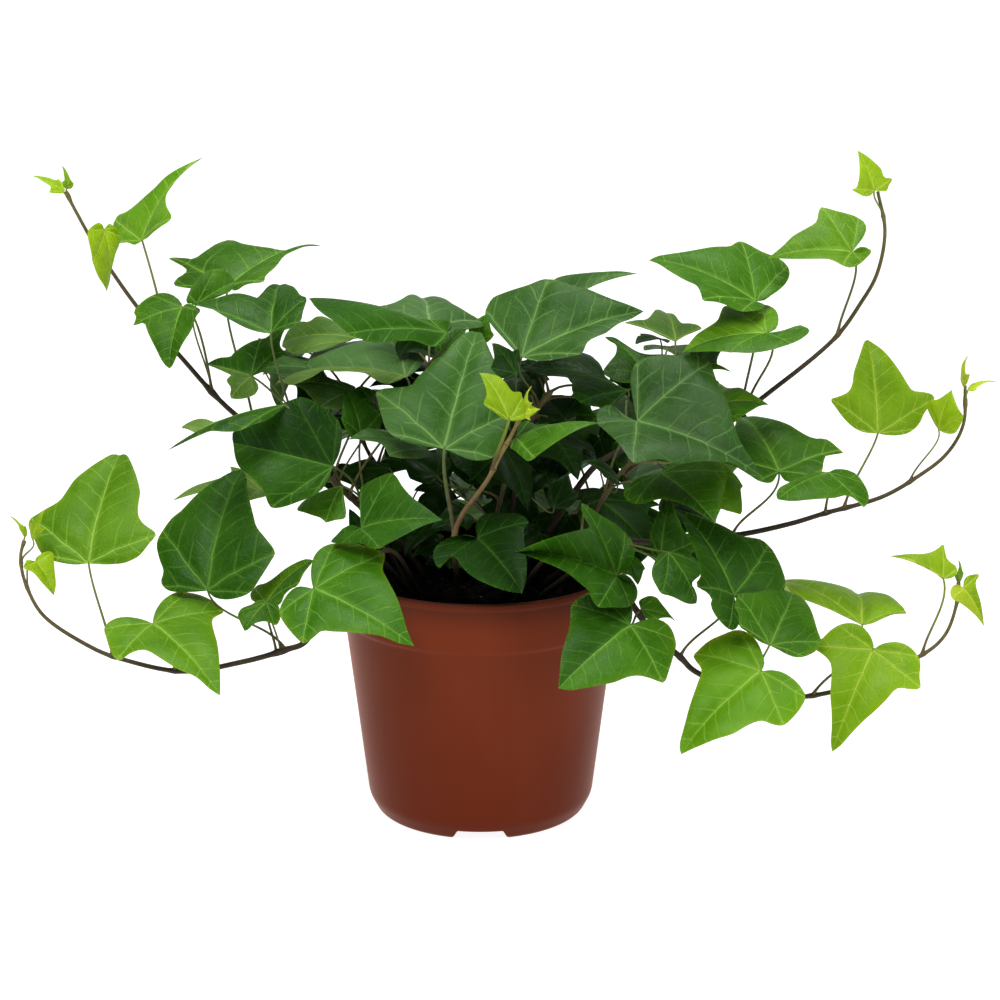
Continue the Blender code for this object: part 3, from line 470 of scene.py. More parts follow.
# Leaves: kind, where the stalk leaves the stem, foot, tip, one lobe, other lobe, depth
LEAVES: dict[str, list[tuple[str, Place, Place, Place, Place, Place, float]]] = {
    "shoot_front": [
        ("plain", (-11, 113), (-15, 151.5), (-1, 202), (-43.5, 175), (13, 165), -30),
        ("arrow", (5, 143), (12, 163.5), (0, 184), (1, 170.5), (17.5, 175), -46),
        ("young", (17, 164), (18.5, 167), (21.3, 178), (19, 171), (22.2, 171), -41),
        ("young", (16, 163), (19, 165.5), (25, 168.3), (21, 169.8), (21, 163.6), -43),
        ("plain", (11, 153), (15, 156), (49, 163), (31, 164), (21, 146), -38),
    ],
    "runner_upper_left": [
        ("young", (-173, 257), (-175, 259.5), (-188, 266), (-181, 259.5), (-177.5, 265), 8),
        ("young", (-173.5, 259), (-173.5, 261), (-175.5, 270.5), (-175.8, 263.5), (-170.5, 263), 12),
        ("heart", (-158, 231), (-158, 243.5), (-156.7, 217.5), (-151.5, 240.5), (-165, 241.5), 7),
        ("arrow", (-133, 198), (-142, 239), (-117, 275.5), (-154, 246.5), (-130, 248.5), 24),
        ("heart", (-112, 176), (-125, 211), (-131, 186), (-145.5, 209), (-117.5, 209.5), 4),
        ("arrow", (-95, 161), (-106, 219), (-65.5, 239), (-131, 230), (-91, 220.5), 32),
        ("plain", (-112, 176), (-119, 212.5), (-103, 222), (-113, 228), (-104, 214), 14),
        ("broad", (-76, 149), (-88, 200), (-84, 222.5), (-122.5, 213), (-73, 214.5), -4),
    ],
    "runner_lower_left": [
        ("plain", (-82, 67.5), (-114.5, 92), (-100.5, 144.5), (-135, 112), (-87, 109.5), -34),
        ("broad", (-155, 65), (-164.5, 103.5), (-151.5, 150), (-189.5, 121), (-136, 115.5), -26),
        ("heart", (-128, 58.5), (-137.5, 78), (-110, 48.5), (-107.5, 82), (-151, 63.5), -47),
        ("heart", (-190, 93), (-186.5, 104), (-179, 90), (-180, 107.5), (-191.5, 102.5), -27),
        ("young", (-192, 104), (-188, 113.5), (-183, 126), (-189, 121.5), (-182.5, 118.5), -30),
        ("young", (-191.5, 112), (-191.3, 114.5), (-197.5, 123.5), (-194, 118), (-190.7, 119), -13),
        ("arrow", (-86, 66), (-90, 86.5), (-70, 105), (-96.5, 93), (-78.5, 88), -36),
        ("heart", (-84, 66.5), (-90, 87), (-99, 75.5), (-101.5, 85), (-85.5, 78), -44),
    ],
    "runner_upper_right": [
        ("heart", (168.5, 249), (165.5, 260), (158.5, 277), (156, 261), (172.5, 265), 5),
        ("heart", (150, 200), (156, 234), (121, 232), (144, 252), (149, 228), 17),
        ("heart", (110, 168), (115.5, 213.5), (71, 232), (94, 213.5), (110, 239), 4),
        ("heart", (112, 170), (120, 200), (85, 192.5), (103, 210), (110, 191.5), -10),
        ("young", (85, 160), (82, 196.5), (77.5, 209), (60, 204.5), (94, 201.8), 24),
    ],
    "runner_mid_right": [
        ("broad", (152, 126.5), (167, 158), (163, 197.5), (147, 172), (189.5, 174.5), 4),
        ("heart", (107, 115.5), (125.5, 142), (109, 167), (99, 147), (150, 153), -16),
        ("heart", (146, 125), (146, 141.5), (125.5, 131), (161, 127.5), (138, 144), -22),
        ("heart", (180, 138), (192.5, 159.5), (198, 176.3), (187.5, 170), (203, 164.5), 0),
        ("young", (203.5, 170), (203, 178), (204.5, 191), (201.7, 183), (206, 183), 6),
        ("young", (203.6, 172), (205, 176.5), (216.5, 180), (208, 179.5), (208.5, 176), 3),
    ],
    "runner_lower_right": [
        ("heart", (84, 64), (106.5, 90), (82, 128), (91, 94.5), (127, 104), -42),
        ("heart", (140, 48.5), (165, 67), (148, 24.5), (139, 68), (185, 51), -46),
        ("heart", (100, 53), (118, 58), (84.5, 24.5), (89.5, 65), (128, 36), -62),
        ("heart", (112, 49), (121.5, 69), (132, 92), (108, 88), (142, 71), -56),
        ("heart", (66, 83), (63, 77.5), (33.5, 51.5), (39, 85), (77, 54.5), -67),
        ("heart", (168, 56), (160.5, 77.5), (158, 92), (126, 93), (178, 84), -34),
        ("arrow", (185, 65), (194.5, 97), (172, 106.5), (187, 100.5), (194.5, 112), -19),
        ("arrow", (200, 88), (203, 93), (212, 77), (209.5, 98), (197, 90), -27),
        ("young", (201, 94), (201, 95.5), (201, 105), (198.8, 99.5), (203.2, 99.5), -16),
        ("heart", (72, 75), (67.5, 84), (82.5, 79.5), (75, 90), (77, 77), -42),
    ],
    "stem_front_left": [
        ("heart", (-60, 100), (-70, 92.5), (-28.5, 69), (-40.5, 106.5), (-74, 70.5), -60),
        ("heart", (-40, 107), (-50, 118), (-16.5, 122), (-37, 141.5), (-44, 110), -42),
    ],
    "stem_front_right": [
        ("heart", (50, 109), (57, 98), (16.5, 109), (50, 84.5), (42, 127), -50),
        ("heart", (42, 110), (50, 130), (75, 104), (76, 128), (46, 112), -30),
        ("heart", (58, 108), (79, 108), (91, 87), (92, 103), (72, 96), -34),
        ("plain", (55, 108), (76, 106), (80, 129.5), (71.5, 116), (90, 112), -28),
    ],
    "stem_centre": [
        ("heart", (6, 118), (-1, 114), (17, 92), (21, 121), (-18, 103), -30),
        ("heart", (12, 142), (10, 152), (20, 126), (24, 141), (-6, 137), -6),
        ("heart", (14, 150), (30, 157), (41, 139), (49, 150), (19, 146), -2),
        ("plain", (8, 128), (-18, 140), (-34, 150), (-30, 139), (-16, 151), 2),
    ],
    "stem_left": [
        ("heart", (-50, 125), (-62, 144), (-104, 154), (-87, 127), (-75, 172), -26),
        ("heart", (-72, 149), (-96, 182), (-115.5, 187), (-104, 173), (-91, 198), -4),
        ("arrow", (-74, 152), (-82, 170), (-130.5, 151.5), (-113, 167), (-90, 148), -10),
        ("heart", (-56, 132), (-31, 181.5), (-87, 181), (-46, 178), (-30, 196), 2),
        ("plain", (-50, 125), (-58, 136), (-77.5, 127), (-65, 121.5), (-62, 134), -16),
        ("arrow", (-60, 136), (-92, 134), (-129, 130.5), (-106, 144), (-97, 130), 10),
        ("plain", (-48, 124), (-50, 157), (-57, 177), (-59, 164), (-42, 166), 12),
    ],
    "stem_top": [
        ("plain", (-22, 188), (-14, 200), (-72, 214.5), (-44, 195), (-48, 212), 10),
        ("plain", (-20, 170), (-47, 197), (-83.5, 197), (-76, 190.5), (-69, 208), 22),
        ("plain", (-21, 180), (-21, 202), (-26, 216), (-49, 211), (0, 204.5), 34),
        ("plain", (-16, 150), (-22, 151), (-55, 156), (-42, 159.5), (-38, 149), 14),
    ],
    "stem_top_right": [
        ("plain", (24, 168), (17.5, 190), (69, 209.5), (27, 223), (45, 190), -2),
        ("arrow", (30, 176), (22, 203), (66, 226), (33, 224.5), (45, 217), 14),
        ("plain", (26, 170), (62, 176), (18, 186), (43, 191), (38, 171), 12),
        ("plain", (30, 176), (70, 182), (52, 199.5), (56, 185), (80, 191), 20),
    ],
    "stem_right": [
        ("broad", (52, 130), (66, 163), (118, 141), (94, 189), (64, 146), -30),
        ("arrow", (66, 148), (92, 168), (121, 171), (105, 178), (104, 163), -4),
        ("arrow", (66, 148), (84, 184), (105.5, 184.5), (96, 189), (94, 180), -8),
        ("plain", (54, 134), (76, 141), (98, 121.5), (102, 144), (70, 126), -12),
        ("heart", (60, 142), (90, 146), (110.5, 136), (104, 148), (99, 130), -2),
    ],
}

# The margins of leaves as the photo shows them: across and up by turns, from after the foot to before
# the tip, along one side and then along the other
MARGINS: dict[tuple[str, int], tuple[list[float], list[float]]] = {
    ("shoot_front", 0): (
        [-20, 152, -28, 153.7, -35, 156, -39.5, 159.5, -41.5, 165, -43, 171, -43.8, 175.5, -41, 177,
         -35, 177.3, -29, 178, -26, 181.5, -21.6, 185.5, -20, 188, -16.3, 190.2, -13.7, 193.2, -10.7, 196.8,
         -7.7, 199.2, -4.3, 201.1],
        [-11, 149.5, -6, 147.3, -1, 146.6, 4, 147.5, 8, 150.5, 11, 157, 13, 165, 12.2, 170, 11.2, 175,
         9.6, 180, 8.6, 182.5, 6.4, 187.2, 4.3, 191.9, 2.1, 197, 0.6, 200.3]),
    ("shoot_front", 1): (
        [9, 164.5, 5, 167.5, 1.5, 170.5, 2.5, 174, 1.5, 179],
        [15, 163, 19, 164, 22.5, 166, 24, 168, 21, 169.8, 18.2, 172.3, 17, 175.5, 13.5, 175.5,
         11, 178.5, 7.5, 182, 3, 183.5]),
    ("shoot_front", 4): (
        [16, 160, 19, 163, 24, 161.6, 31, 161.2, 38, 161.6, 44, 162.3],
        [12.5, 152.5, 15, 150.3, 18, 147.5, 20, 145.8, 22, 146.6, 25, 149.2, 30, 153, 37, 157, 44, 161]),
    ("runner_upper_left", 2): (
        [-160, 246.5, -163, 245, -165, 242.5, -165, 239, -164, 235, -162.5, 229, -160, 223],
        [-156, 246, -153.5, 244.5, -151.5, 241, -151.5, 237.5, -153.5, 233, -155, 227, -155.5, 222]),
    ("runner_upper_left", 3): (
        [-145, 237, -148, 238, -152, 238, -153.5, 241, -154, 246, -152, 249, -149, 250.2, -146, 252.5,
         -141, 257.5, -136, 261.5, -131, 266, -125, 270.2],
        [-140, 240, -136, 242.8, -132, 245.8, -130, 248, -130, 250, -131.5, 253, -131.5, 256.5,
         -130, 261, -128, 264.5, -125, 268.5, -121, 272.5]),
    ("runner_upper_left", 4): (
        [-126, 213.5, -129, 216, -133, 217, -137.5, 216, -142, 213, -145.5, 209.5, -144.5, 206.5,
         -145.8, 202.8, -142, 204.5, -140.5, 203.5, -139.5, 200, -136, 193, -133.5, 188],
        [-123, 212.5, -119, 211, -117.5, 209.5, -119, 207, -121, 202, -124, 197, -127, 191.5,
         -129.5, 187]),
    ("runner_upper_left", 5): (
        [-113, 218, -121, 218.5, -128.5, 220, -127, 223, -123.5, 225.7, -124.5, 228, -131, 232,
         -124, 231.5, -120, 231, -115, 234, -110, 237, -105, 238.5, -100, 237.2, -90, 235.8, -80, 235.2],
        [-103, 217.8, -98, 219.8, -91.5, 221.2, -90, 224, -86, 228, -82, 232.3, -75, 235.3]),
    ("runner_upper_left", 6): (
        [-123.5, 213, -122, 218, -119, 222.5, -115, 226, -110, 227, -106, 225.5],
        [-112, 214.5, -106, 217, -104, 219]),
    ("runner_upper_left", 7): (
        [-93, 200.5, -100, 203, -107, 206.5, -114, 210.5, -122, 212.5, -114, 214, -107.5, 215.5,
         -102, 216.3, -98, 215, -94.5, 214.2, -92, 216.5, -89, 220, -86.5, 221.8],
        [-84, 200.5, -79, 202.5, -75.5, 205, -74.5, 208, -73, 214.5, -76, 216.5, -80, 220.2,
         -82, 221.7]),
    ("stem_left", 0): (
        [-59, 150, -58, 158, -60, 164, -66, 169, -72, 172.5, -77, 173, -84, 170, -92, 166, -99, 162,
         -104, 158.5],
        [-63.5, 139, -67, 134, -72, 131, -77, 129, -82, 127.2, -87, 126.5, -89, 128.5, -90.5, 132.5,
         -93, 137, -97, 140.5, -101, 143.5, -103, 148]),
    ("stem_left", 1): (
        [-91, 184, -88, 188, -88, 193, -90, 197.7, -95, 197, -99, 195, -103, 192, -105, 190,
         -110, 189.5],
        [-93, 178, -94, 175, -97, 173.2, -102, 172.3, -105, 173, -104.5, 177, -106.5, 180,
         -104, 181.8, -108, 184]),
    ("stem_left", 2): (
        [-88, 169.3, -98, 166, -104, 165.2, -110, 162, -115, 163, -120.5, 163.6, -125.5, 159.9,
         -120, 159.5, -118.5, 158.8, -124, 156, -128, 153.3],
        [-90, 163, -100, 160, -108, 158, -114, 158.2, -120, 156.3, -126, 153.3]),
    ("stem_left", 3): (
        [-27, 184, -23, 189, -24, 194, -28, 196.5, -35, 197, -43, 196, -50, 196, -55, 194, -60, 192.5,
         -68, 190.5, -73, 188, -80, 185],
        [-34, 180, -39, 178.5, -44, 180, -49, 183.5, -55, 184, -60, 183.5, -66, 183.5, -72, 181,
         -80, 179]),
    ("stem_left", 4): (
        [-62, 134.5, -68, 132, -74, 130],
        [-57, 130, -56.5, 123, -60.5, 121.3, -64.7, 120.4, -67, 122.4, -72, 124, -76.5, 125.5]),
    ("stem_top", 0): (
        [-11.5, 203, -13, 205.3, -20, 205.4, -35, 205, -42, 207, -48, 210, -53, 212, -55, 210.5,
         -62, 212, -68, 214],
        [-13.5, 197, -17, 195, -22, 194.5, -28, 196, -37, 195.8, -44, 195.8, -49, 197.5, -55, 200,
         -62, 204.5, -67, 208, -70, 211.5]),
    ("stem_top", 1): (
        [-53, 200, -60, 204, -66, 207.3, -69, 206.5, -72, 204.5, -76, 205, -80, 203],
        [-52, 198.5, -57, 196, -64, 193.3, -70, 191.5, -76, 191, -80, 192, -83, 194.5]),
    ("stem_top", 2): (
        [-27, 204, -35, 205, -42, 207.5, -49, 211.3, -45, 211.6, -40, 212, -35, 213.3, -31, 215],
        [-14, 200.5, -9, 200, -4, 201.8, 1, 203, 0, 205.5, -4, 207.3, -8.5, 209.8, -13, 212.8,
         -17, 214.8, -21, 215.3]),
    ("stem_top_right", 0): (
        [13, 194, 10, 197.5, 6, 202, 3, 206, 2, 209, 5, 214, 9, 216, 14, 218, 20, 220.3, 26, 222.8,
         31, 222.5, 38, 219.8, 45, 218.3, 55, 214.5, 62, 212],
        [21, 188.8, 26, 188.2, 33, 189.3, 39, 190.8, 43, 191.8, 45.5, 196, 49, 198.5, 53, 200.3,
         58, 203.5, 63, 205.5, 66, 207.5]),
    ("stem_top_right", 1): (
        [24, 212, 27, 220, 32, 223, 40, 224.2, 50, 225.6, 58, 226.2],
        [30, 206, 38, 212, 44.5, 217.8, 47.5, 220.5, 51, 223.7, 56, 225.2]),
    ("stem_top_right", 2): (
        [57, 178.5, 51.5, 181.5, 49.8, 186, 47, 190, 43, 191.5, 37, 190, 30, 188.5, 24, 188.3],
        [57, 171, 49, 168.5, 42, 171, 38.5, 176, 38, 180, 32, 181.5, 25, 182.5]),
    ("stem_top_right", 3): (
        [66, 180, 60, 179, 54, 181.5, 51.5, 184, 54, 187.5, 56.8, 191, 57, 195, 54, 197],
        [74, 182, 79, 185, 82, 190, 76, 191, 70, 191.3, 65, 192.8, 60, 195.8, 56, 198.6]),
    ("stem_right", 0): (
        [65, 168, 63.5, 175, 63, 180, 64, 185, 66, 188, 70, 189.5, 76, 190.3, 84, 190.5, 90, 191,
         94, 190, 97, 188, 98, 184, 100, 178, 103, 172, 105, 167, 107, 160, 109, 155, 113, 149],
        [60, 164.5, 57.5, 168, 54, 169.8, 51, 168.5, 49, 166, 49.5, 162, 52, 159.5, 56, 155.5,
         60, 150.5, 63, 146.5, 65.5, 145.3, 70, 146.5, 76, 147, 83, 145.3, 91, 146, 98, 146,
         105, 145.5, 112, 142.5]),
    ("stem_right", 1): (
        [94, 174, 99, 178.3, 104, 177.2, 109, 177, 113.5, 174.8],
        [97, 163, 103, 161, 109, 164, 113, 166.8, 117.5, 169.8]),
    ("stem_right", 3): (
        [80, 145, 88, 147, 96, 146.5, 101, 145, 103.5, 141, 103, 136, 101.5, 131.5, 101, 127,
         99, 123],
        [71, 140, 65, 138, 60.5, 133.5, 62, 129.5, 68, 128.5, 75, 130, 81, 129, 87, 127.2, 93, 124]),
    ("stem_right", 4): (
        [93, 149, 98, 148, 102.5, 144.5, 106.5, 141.3],
        [92, 140, 94, 132, 98, 126.5, 102, 126, 106, 124.8, 109.6, 124, 109.8, 128, 108.7, 132.5]),
    ("runner_upper_right", 0): (
        [164, 258, 161.5, 257.4, 158.7, 258.7, 156, 260.5, 158, 261.2, 158.8, 264, 159.2, 269,
         159, 273.5],
        [168.5, 259.7, 170.8, 259.9, 171.6, 262.2, 173, 264.8, 169.8, 265.6, 168.4, 269, 165.5, 271.8,
         161.5, 275]),
    ("runner_upper_right", 1): (
        [159, 236.2, 162, 236.2, 164.4, 234.8, 163, 232.3, 160, 229.3, 156.5, 227.3, 153.3, 228,
         149.5, 230, 146, 231.1, 139, 230.8, 131, 231],
        [158.5, 237, 160.8, 240, 162.2, 243.7, 161, 247, 157.5, 249.3, 152, 250.8, 147, 251.8,
         143.2, 252.7, 142, 250.2, 141, 246.6, 136, 243.6, 131, 240.4, 127, 236.4]),
    ("runner_upper_right", 2): (
        [118, 212.5, 119.5, 211.3, 117.5, 209.6, 113, 209.2, 108, 209.8, 103, 212, 98, 213.3,
         93.8, 213.5, 92.5, 216, 90.5, 219.5, 86, 222, 80, 225.8, 75.5, 229],
        [119.5, 213.8, 121.5, 215.3, 125.5, 218, 128.5, 221, 129.8, 224.5, 129, 228, 125.5, 231,
         120, 233.5, 114.5, 236.5, 109.8, 239, 107.3, 238, 104.5, 236.3, 98, 235.8, 88, 234.3,
         80, 233.6, 74.5, 233.1]),
    ("runner_upper_right", 3): (
        [122.5, 199.8, 126, 200, 130, 202, 134, 203.4, 137, 202.6, 138.3, 200.2, 135, 197.2,
         130, 195.2, 124, 193.3, 118, 192.2, 110, 191.8, 100, 192, 91, 192],
        [124, 201.5, 125.3, 204.5, 125, 208, 123, 210.8, 118, 212.5, 111, 212.5, 103.5, 211.3,
         101, 208.5, 99.5, 205.3, 95, 202.2, 91, 199.5, 88, 196]),
    ("runner_upper_right", 4): (
        [75, 199.3, 68, 202.5, 60.3, 204.3, 66, 205.6, 71, 206.8, 75.5, 208.3],
        [86, 199, 93, 201.6, 89, 203.6, 85, 204.2, 82, 207]),
    ("runner_mid_right", 0): (
        [164, 158, 160, 158.7, 156, 161, 152.5, 164.5, 149.5, 168.5, 147, 172, 148.5, 172.8,
         152.5, 174.2, 155, 176, 156.3, 179, 157, 184, 159, 190, 161.3, 196.5],
        [170, 157.3, 175, 157.1, 180, 158.2, 184, 161.5, 186.2, 166, 188, 168.5, 191, 172.3,
         189.5, 174.6, 185.5, 175.4, 181.5, 175.9, 179.3, 178.7, 176.5, 183.5, 173, 188.6, 169, 193]),
    ("runner_mid_right", 1): (
        [128, 138, 134, 137, 140, 138.5, 143.5, 142, 144.3, 146, 146, 149, 150, 148.8, 152.6, 149.6,
         150, 152, 145.2, 155.7, 140, 156, 134.5, 158.2, 130, 160.8, 122, 164, 115, 165.8],
        [122.5, 137.2, 118, 137.4, 113, 139.8, 108, 143.3, 103.5, 145.2, 99.5, 146.5, 101.5, 150.5,
         104, 155, 106.5, 160, 108, 164]),
    ("runner_mid_right", 2): (
        [149, 142.9, 153, 142.8, 157, 141.4, 160.5, 138, 162.8, 133.5, 163.2, 130.3, 161.3, 126.8,
         159.5, 128.3, 157, 130.5, 153, 131.5, 149, 130.5, 142, 130.2, 134, 129.8, 129, 129.9],
        [142.5, 142, 139, 141.1, 134, 139.3, 129.5, 137.2, 125.5, 135, 124.4, 132.5]),
    ("runner_mid_right", 3): (
        [190.8, 162, 189.3, 165.5, 187.6, 169.3, 189, 171.8, 192.3, 172.3, 195.3, 174.3],
        [195.5, 158, 199.2, 157.9, 201.3, 160.5, 202.9, 165, 201, 168.3, 199.5, 172]),
    ("runner_lower_left", 0): (
        [-120, 91.3, -127, 91.2, -131.5, 92.3, -134.2, 95.5, -133, 100, -134.5, 105, -135.5, 111,
         -133.8, 116.5, -129.5, 122.5, -125, 126, -118, 132.8, -110, 139.3, -104.5, 142.8],
        [-111.5, 89, -106, 88, -100, 89.2, -95.5, 92, -92, 97.5, -88, 104.5, -86.3, 108.5,
         -90, 113.8, -93.5, 118.3, -95.3, 124, -97.3, 132, -98.5, 140]),
    ("runner_lower_left", 1): (
        [-170, 102.8, -177, 103.8, -182, 105.5, -185, 108.5, -187.2, 113.5, -189.6, 118.5,
         -189.2, 122.3, -186.5, 124, -182.5, 126.2, -176.7, 129.3, -173.5, 133.3, -170, 138.5,
         -164, 143.8, -158, 147.8, -154.5, 149.6],
        [-158, 102.8, -151, 103.3, -147, 104.5, -143, 106.7, -139.5, 110.8, -136, 115.2,
         -137.5, 117, -141.5, 120, -143.6, 124, -143.4, 129.5, -142.8, 133.3, -144, 139,
         -146.5, 145.5, -149, 149.5]),
    ("runner_lower_left", 2): (
        [-137.3, 80.6, -136, 84, -133, 88, -128, 91.2, -123.5, 91.6, -117, 89.7, -112, 86.8,
         -107.8, 82.7, -112.3, 79.8, -112, 75.5, -110.5, 70, -109.6, 62, -109.2, 53.5],
        [-141, 79.3, -149.5, 80.6, -155, 79, -158, 76, -157, 71.5, -154.5, 65, -151.3, 62.7,
         -147, 65.3, -141, 66.4, -134, 62.8, -127, 58.8, -119.6, 55.6, -114, 50.8]),
    ("runner_lower_left", 3): (
        [-186.8, 105.5, -184.5, 107.4, -182, 108.4, -179.6, 108, -179.2, 104.5, -178.6, 99,
         -178.3, 94],
        [-188.6, 104.3, -190.5, 104.8, -191.8, 101.8, -190, 100.5, -188, 99.5, -184.5, 95.5,
         -181, 92]),
    ("runner_lower_left", 6): (
        [-93, 86.5, -96, 88, -96.5, 91, -94, 94, -90, 94.8, -86, 97.4, -82, 101, -77.8, 103.5,
         -73.4, 105.1],
        [-87, 85, -83.4, 86.5, -82, 90, -79.5, 92.7, -77, 94, -74.3, 98.3, -71.2, 102.6]),
    ("runner_lower_left", 7): (
        [-93, 88, -96, 86.2, -99.5, 84.8, -101.8, 82, -101, 79],
        [-87, 88, -84.5, 85, -84, 80, -86, 77.5, -90, 78.8, -95, 77.9, -97.3, 75.9]),
    ("runner_lower_right", 0): (
        [107.3, 84, 108.5, 78, 106.5, 75.4, 103.5, 76.5, 100.5, 79, 98, 82, 96.4, 85.5, 96.8, 88,
         94.5, 91, 91.3, 93, 90.6, 95, 92.3, 97.5, 92.3, 101, 90.8, 106, 88.5, 112.5, 85.7, 119],
        [110, 85, 115, 83, 121, 84.5, 126, 89, 128.3, 95, 127, 100.5, 125, 104.8, 122, 109.7,
         118, 112.8, 113, 113.9, 109, 114.8, 103, 118.5, 97, 121.5, 90, 124.5]),
    ("runner_lower_right", 1): (
        [165.3, 69, 163.8, 73, 160.5, 76.8, 156, 78.3, 151, 77.7, 147, 75.2, 144, 72.2, 141.5, 70.5,
         139, 68.3, 141.5, 66.7, 144.8, 64.3, 147.3, 61, 147.6, 55.5, 147.1, 48.5, 147.6, 41,
         147.6, 34, 147.2, 28],
        [168.3, 69.3, 172.5, 70.3, 177, 70, 181, 67.8, 184, 64.3, 185, 61, 184.6, 56, 184.9, 50.8,
         180.5, 50.4, 177, 50.9, 174.3, 50.2, 170.5, 46, 166, 41.6, 161, 37.2, 156, 32, 151.5, 27]),
    ("runner_lower_right", 2): (
        [119.4, 61, 118.7, 65, 116.5, 70, 113, 73.7, 108, 75.3, 102, 73.3, 96, 70.7, 91.5, 67,
         89.4, 64.7, 91, 61.7, 93, 58.2, 91, 51.5, 88.3, 44, 85.6, 35, 83.5, 28],
        [123, 58.3, 127.5, 57.2, 132, 54.3, 135, 51, 136.6, 47.3, 134.5, 42.5, 130.5, 37.5,
         127, 35, 123, 35.3, 118, 36.9, 112, 35, 106, 31.7, 99, 29.6, 92, 27]),
    ("runner_lower_right", 3): (
        [118.5, 69.8, 115.5, 71.5, 112, 74.5, 109, 76.8, 107.2, 81, 106.8, 85.5, 108.3, 89.8,
         113, 90.4, 118, 91.5, 123, 93, 128, 92.8],
        [124, 68, 128, 65.4, 132.5, 63.7, 137, 64.3, 141, 66.5, 143.2, 70.5, 141.8, 75, 140.2, 80,
         138, 85.5, 135.5, 89.5]),
    ("runner_lower_right", 4): (
        [63.8, 81, 63.3, 85.5, 58, 88.5, 52, 90.5, 46, 91.3, 41, 88.3, 38, 85, 37.8, 80,
         37.3, 75.5, 35.5, 70, 34, 64, 33.4, 58, 33, 53.5],
        [66, 78.6, 70, 79.8, 75, 79.8, 79, 77.5, 81.3, 73.5, 82.2, 69, 81, 64, 79.5, 59, 77.8, 54,
         76.3, 53.5, 72, 54.9, 67, 56, 62, 55.3, 56, 53, 49, 51.8, 42, 50.6, 37, 50]),
    ("runner_lower_right", 5): (
        [157, 79.3, 152, 81.3, 147.5, 83.7, 143, 85.5, 141, 87.7, 136, 89, 130, 91.6, 126, 93.4],
        [164, 78, 169.5, 80.2, 175, 82.3, 178.3, 83.6]),
    ("runner_lower_right", 6): (
        [197.5, 97, 200.3, 98.8, 200, 101.8, 198, 103.3, 196, 105.5, 195.2, 109, 194.6, 111.8,
         193, 110.3, 190.3, 108.3, 186, 107.2, 180, 107.3],
        [192, 98.5, 189.5, 100.5, 186, 101.8, 183.5, 103.6, 181.2, 105.3, 177.5, 106]),
    ("runner_lower_right", 7): (
        [203, 96, 204.5, 98, 207, 98.7, 209.6, 98.6, 208.2, 95.7, 208.6, 92.5, 209.7, 88.5,
         210.8, 83.5, 211.6, 79.5],
        [201, 94.2, 199, 94.3, 197.4, 91.7, 198.3, 88.3, 201, 86.9, 205, 84.2, 209, 80.3]),
    ("runner_lower_right", 9): (
        [66.5, 87.2, 69, 89.2, 72, 89.6, 75.3, 87.7, 77.8, 84.2, 80, 81.7],
        [68, 81.5, 70.5, 79.8, 75, 79.9, 79.5, 80.5]),
    ("stem_front_left", 0): (
        [-71, 96.5, -71, 101.5, -69.5, 106.5, -65.5, 110.3, -60, 111.9, -52, 111.7, -44, 109.3,
         -40.2, 107.4, -40.3, 104, -41, 100.3, -38.5, 95.5, -35.3, 89.5, -32.7, 82.3, -30.5, 74.5],
        [-73, 93.4, -77, 93.4, -81, 90.3, -84, 85, -84, 80.8, -80.5, 75.2, -76, 70.6, -73.3, 69.9,
         -70.3, 72, -66.5, 75, -61, 74.5, -52, 73.7, -42, 72.7, -34.5, 69.8]),
    ("stem_front_left", 1): (
        [-49.5, 124, -50, 130, -50.3, 135, -46, 138, -41, 140.5, -37.5, 141.5, -35, 139.5,
         -32.5, 135.5, -28.5, 131, -23, 127],
        [-54, 119.5, -58, 118, -60.5, 115.2, -62.5, 112, -57, 111.8, -50, 111.3, -44, 109.3,
         -38.5, 111.8, -31, 115.5, -24, 119]),
    ("stem_front_right", 0): (
        [60, 100.7, 62, 103, 63.7, 107, 63.2, 111.5, 60.5, 116, 56, 120, 51, 123.2, 46, 126.5,
         42.3, 128.8, 41.5, 125.5, 43, 121.5, 44.8, 118.2, 40, 117.2, 33, 115.5, 26, 113.2,
         20.5, 111.2],
        [60, 98.8, 63.5, 96.8, 65.7, 92.5, 65.2, 88, 61.5, 85, 55, 84.6, 50, 84.8, 46.8, 87.8,
         45.6, 91.8, 41.5, 95.3, 36.5, 99, 30, 102.3, 23, 105.8]),
    ("stem_front_right", 2): (
        [84, 107, 89, 106, 92.5, 102.5, 92.3, 98.5, 89, 95.2, 90.3, 92.3, 91.3, 89.3],
        [75, 107, 72.8, 103, 72, 98.5, 73.6, 94, 76, 90.8, 80, 89.6, 85, 87.2, 88.5, 86.4]),
    ("stem_centre", 0): (
        [-6, 115.2, -11, 114.6, -15.5, 112.7, -19, 109.5, -19.2, 105.5, -17.2, 101.9, -14.8, 104.6,
         -12.3, 106.7, -9.8, 105.4, -6.5, 100.8, -2, 97.3, 5, 94.2, 12, 92.2],
        [-2, 118.5, 0, 122.8, 5, 124.8, 11, 124.4, 16.5, 123.6, 20.3, 120.8, 18.7, 117.8,
         18.4, 114, 19, 108.5, 19.6, 102, 19, 95.5]),
}
# How far the margins of a few of them come toward the camera, to pass in front of a stem
LEANS: dict[tuple[str, int], tuple[float, float]] = {
    ("stem_front_right", 0): (20.0, 4.0), ("stem_centre", 0): (16.0, 0.0)}

# Rear stems, which the photo doesn't show, in the same form
REAR_STEMS: dict[str, StemReading] = {
    "stem_back_left": ((-20, 32), 1.8, 1.0, [(-34, 130, 44), (-48, 152, 52), (-56, 176, 52)]),
    "stem_back": ((4, 36), 1.8, 1.0, [(6, 132, 50), (8, 156, 60), (10, 180, 60)]),
    "stem_back_right": ((26, 28), 1.8, 1.0, [(44, 128, 40), (64, 144, 48), (80, 158, 50)]),
}
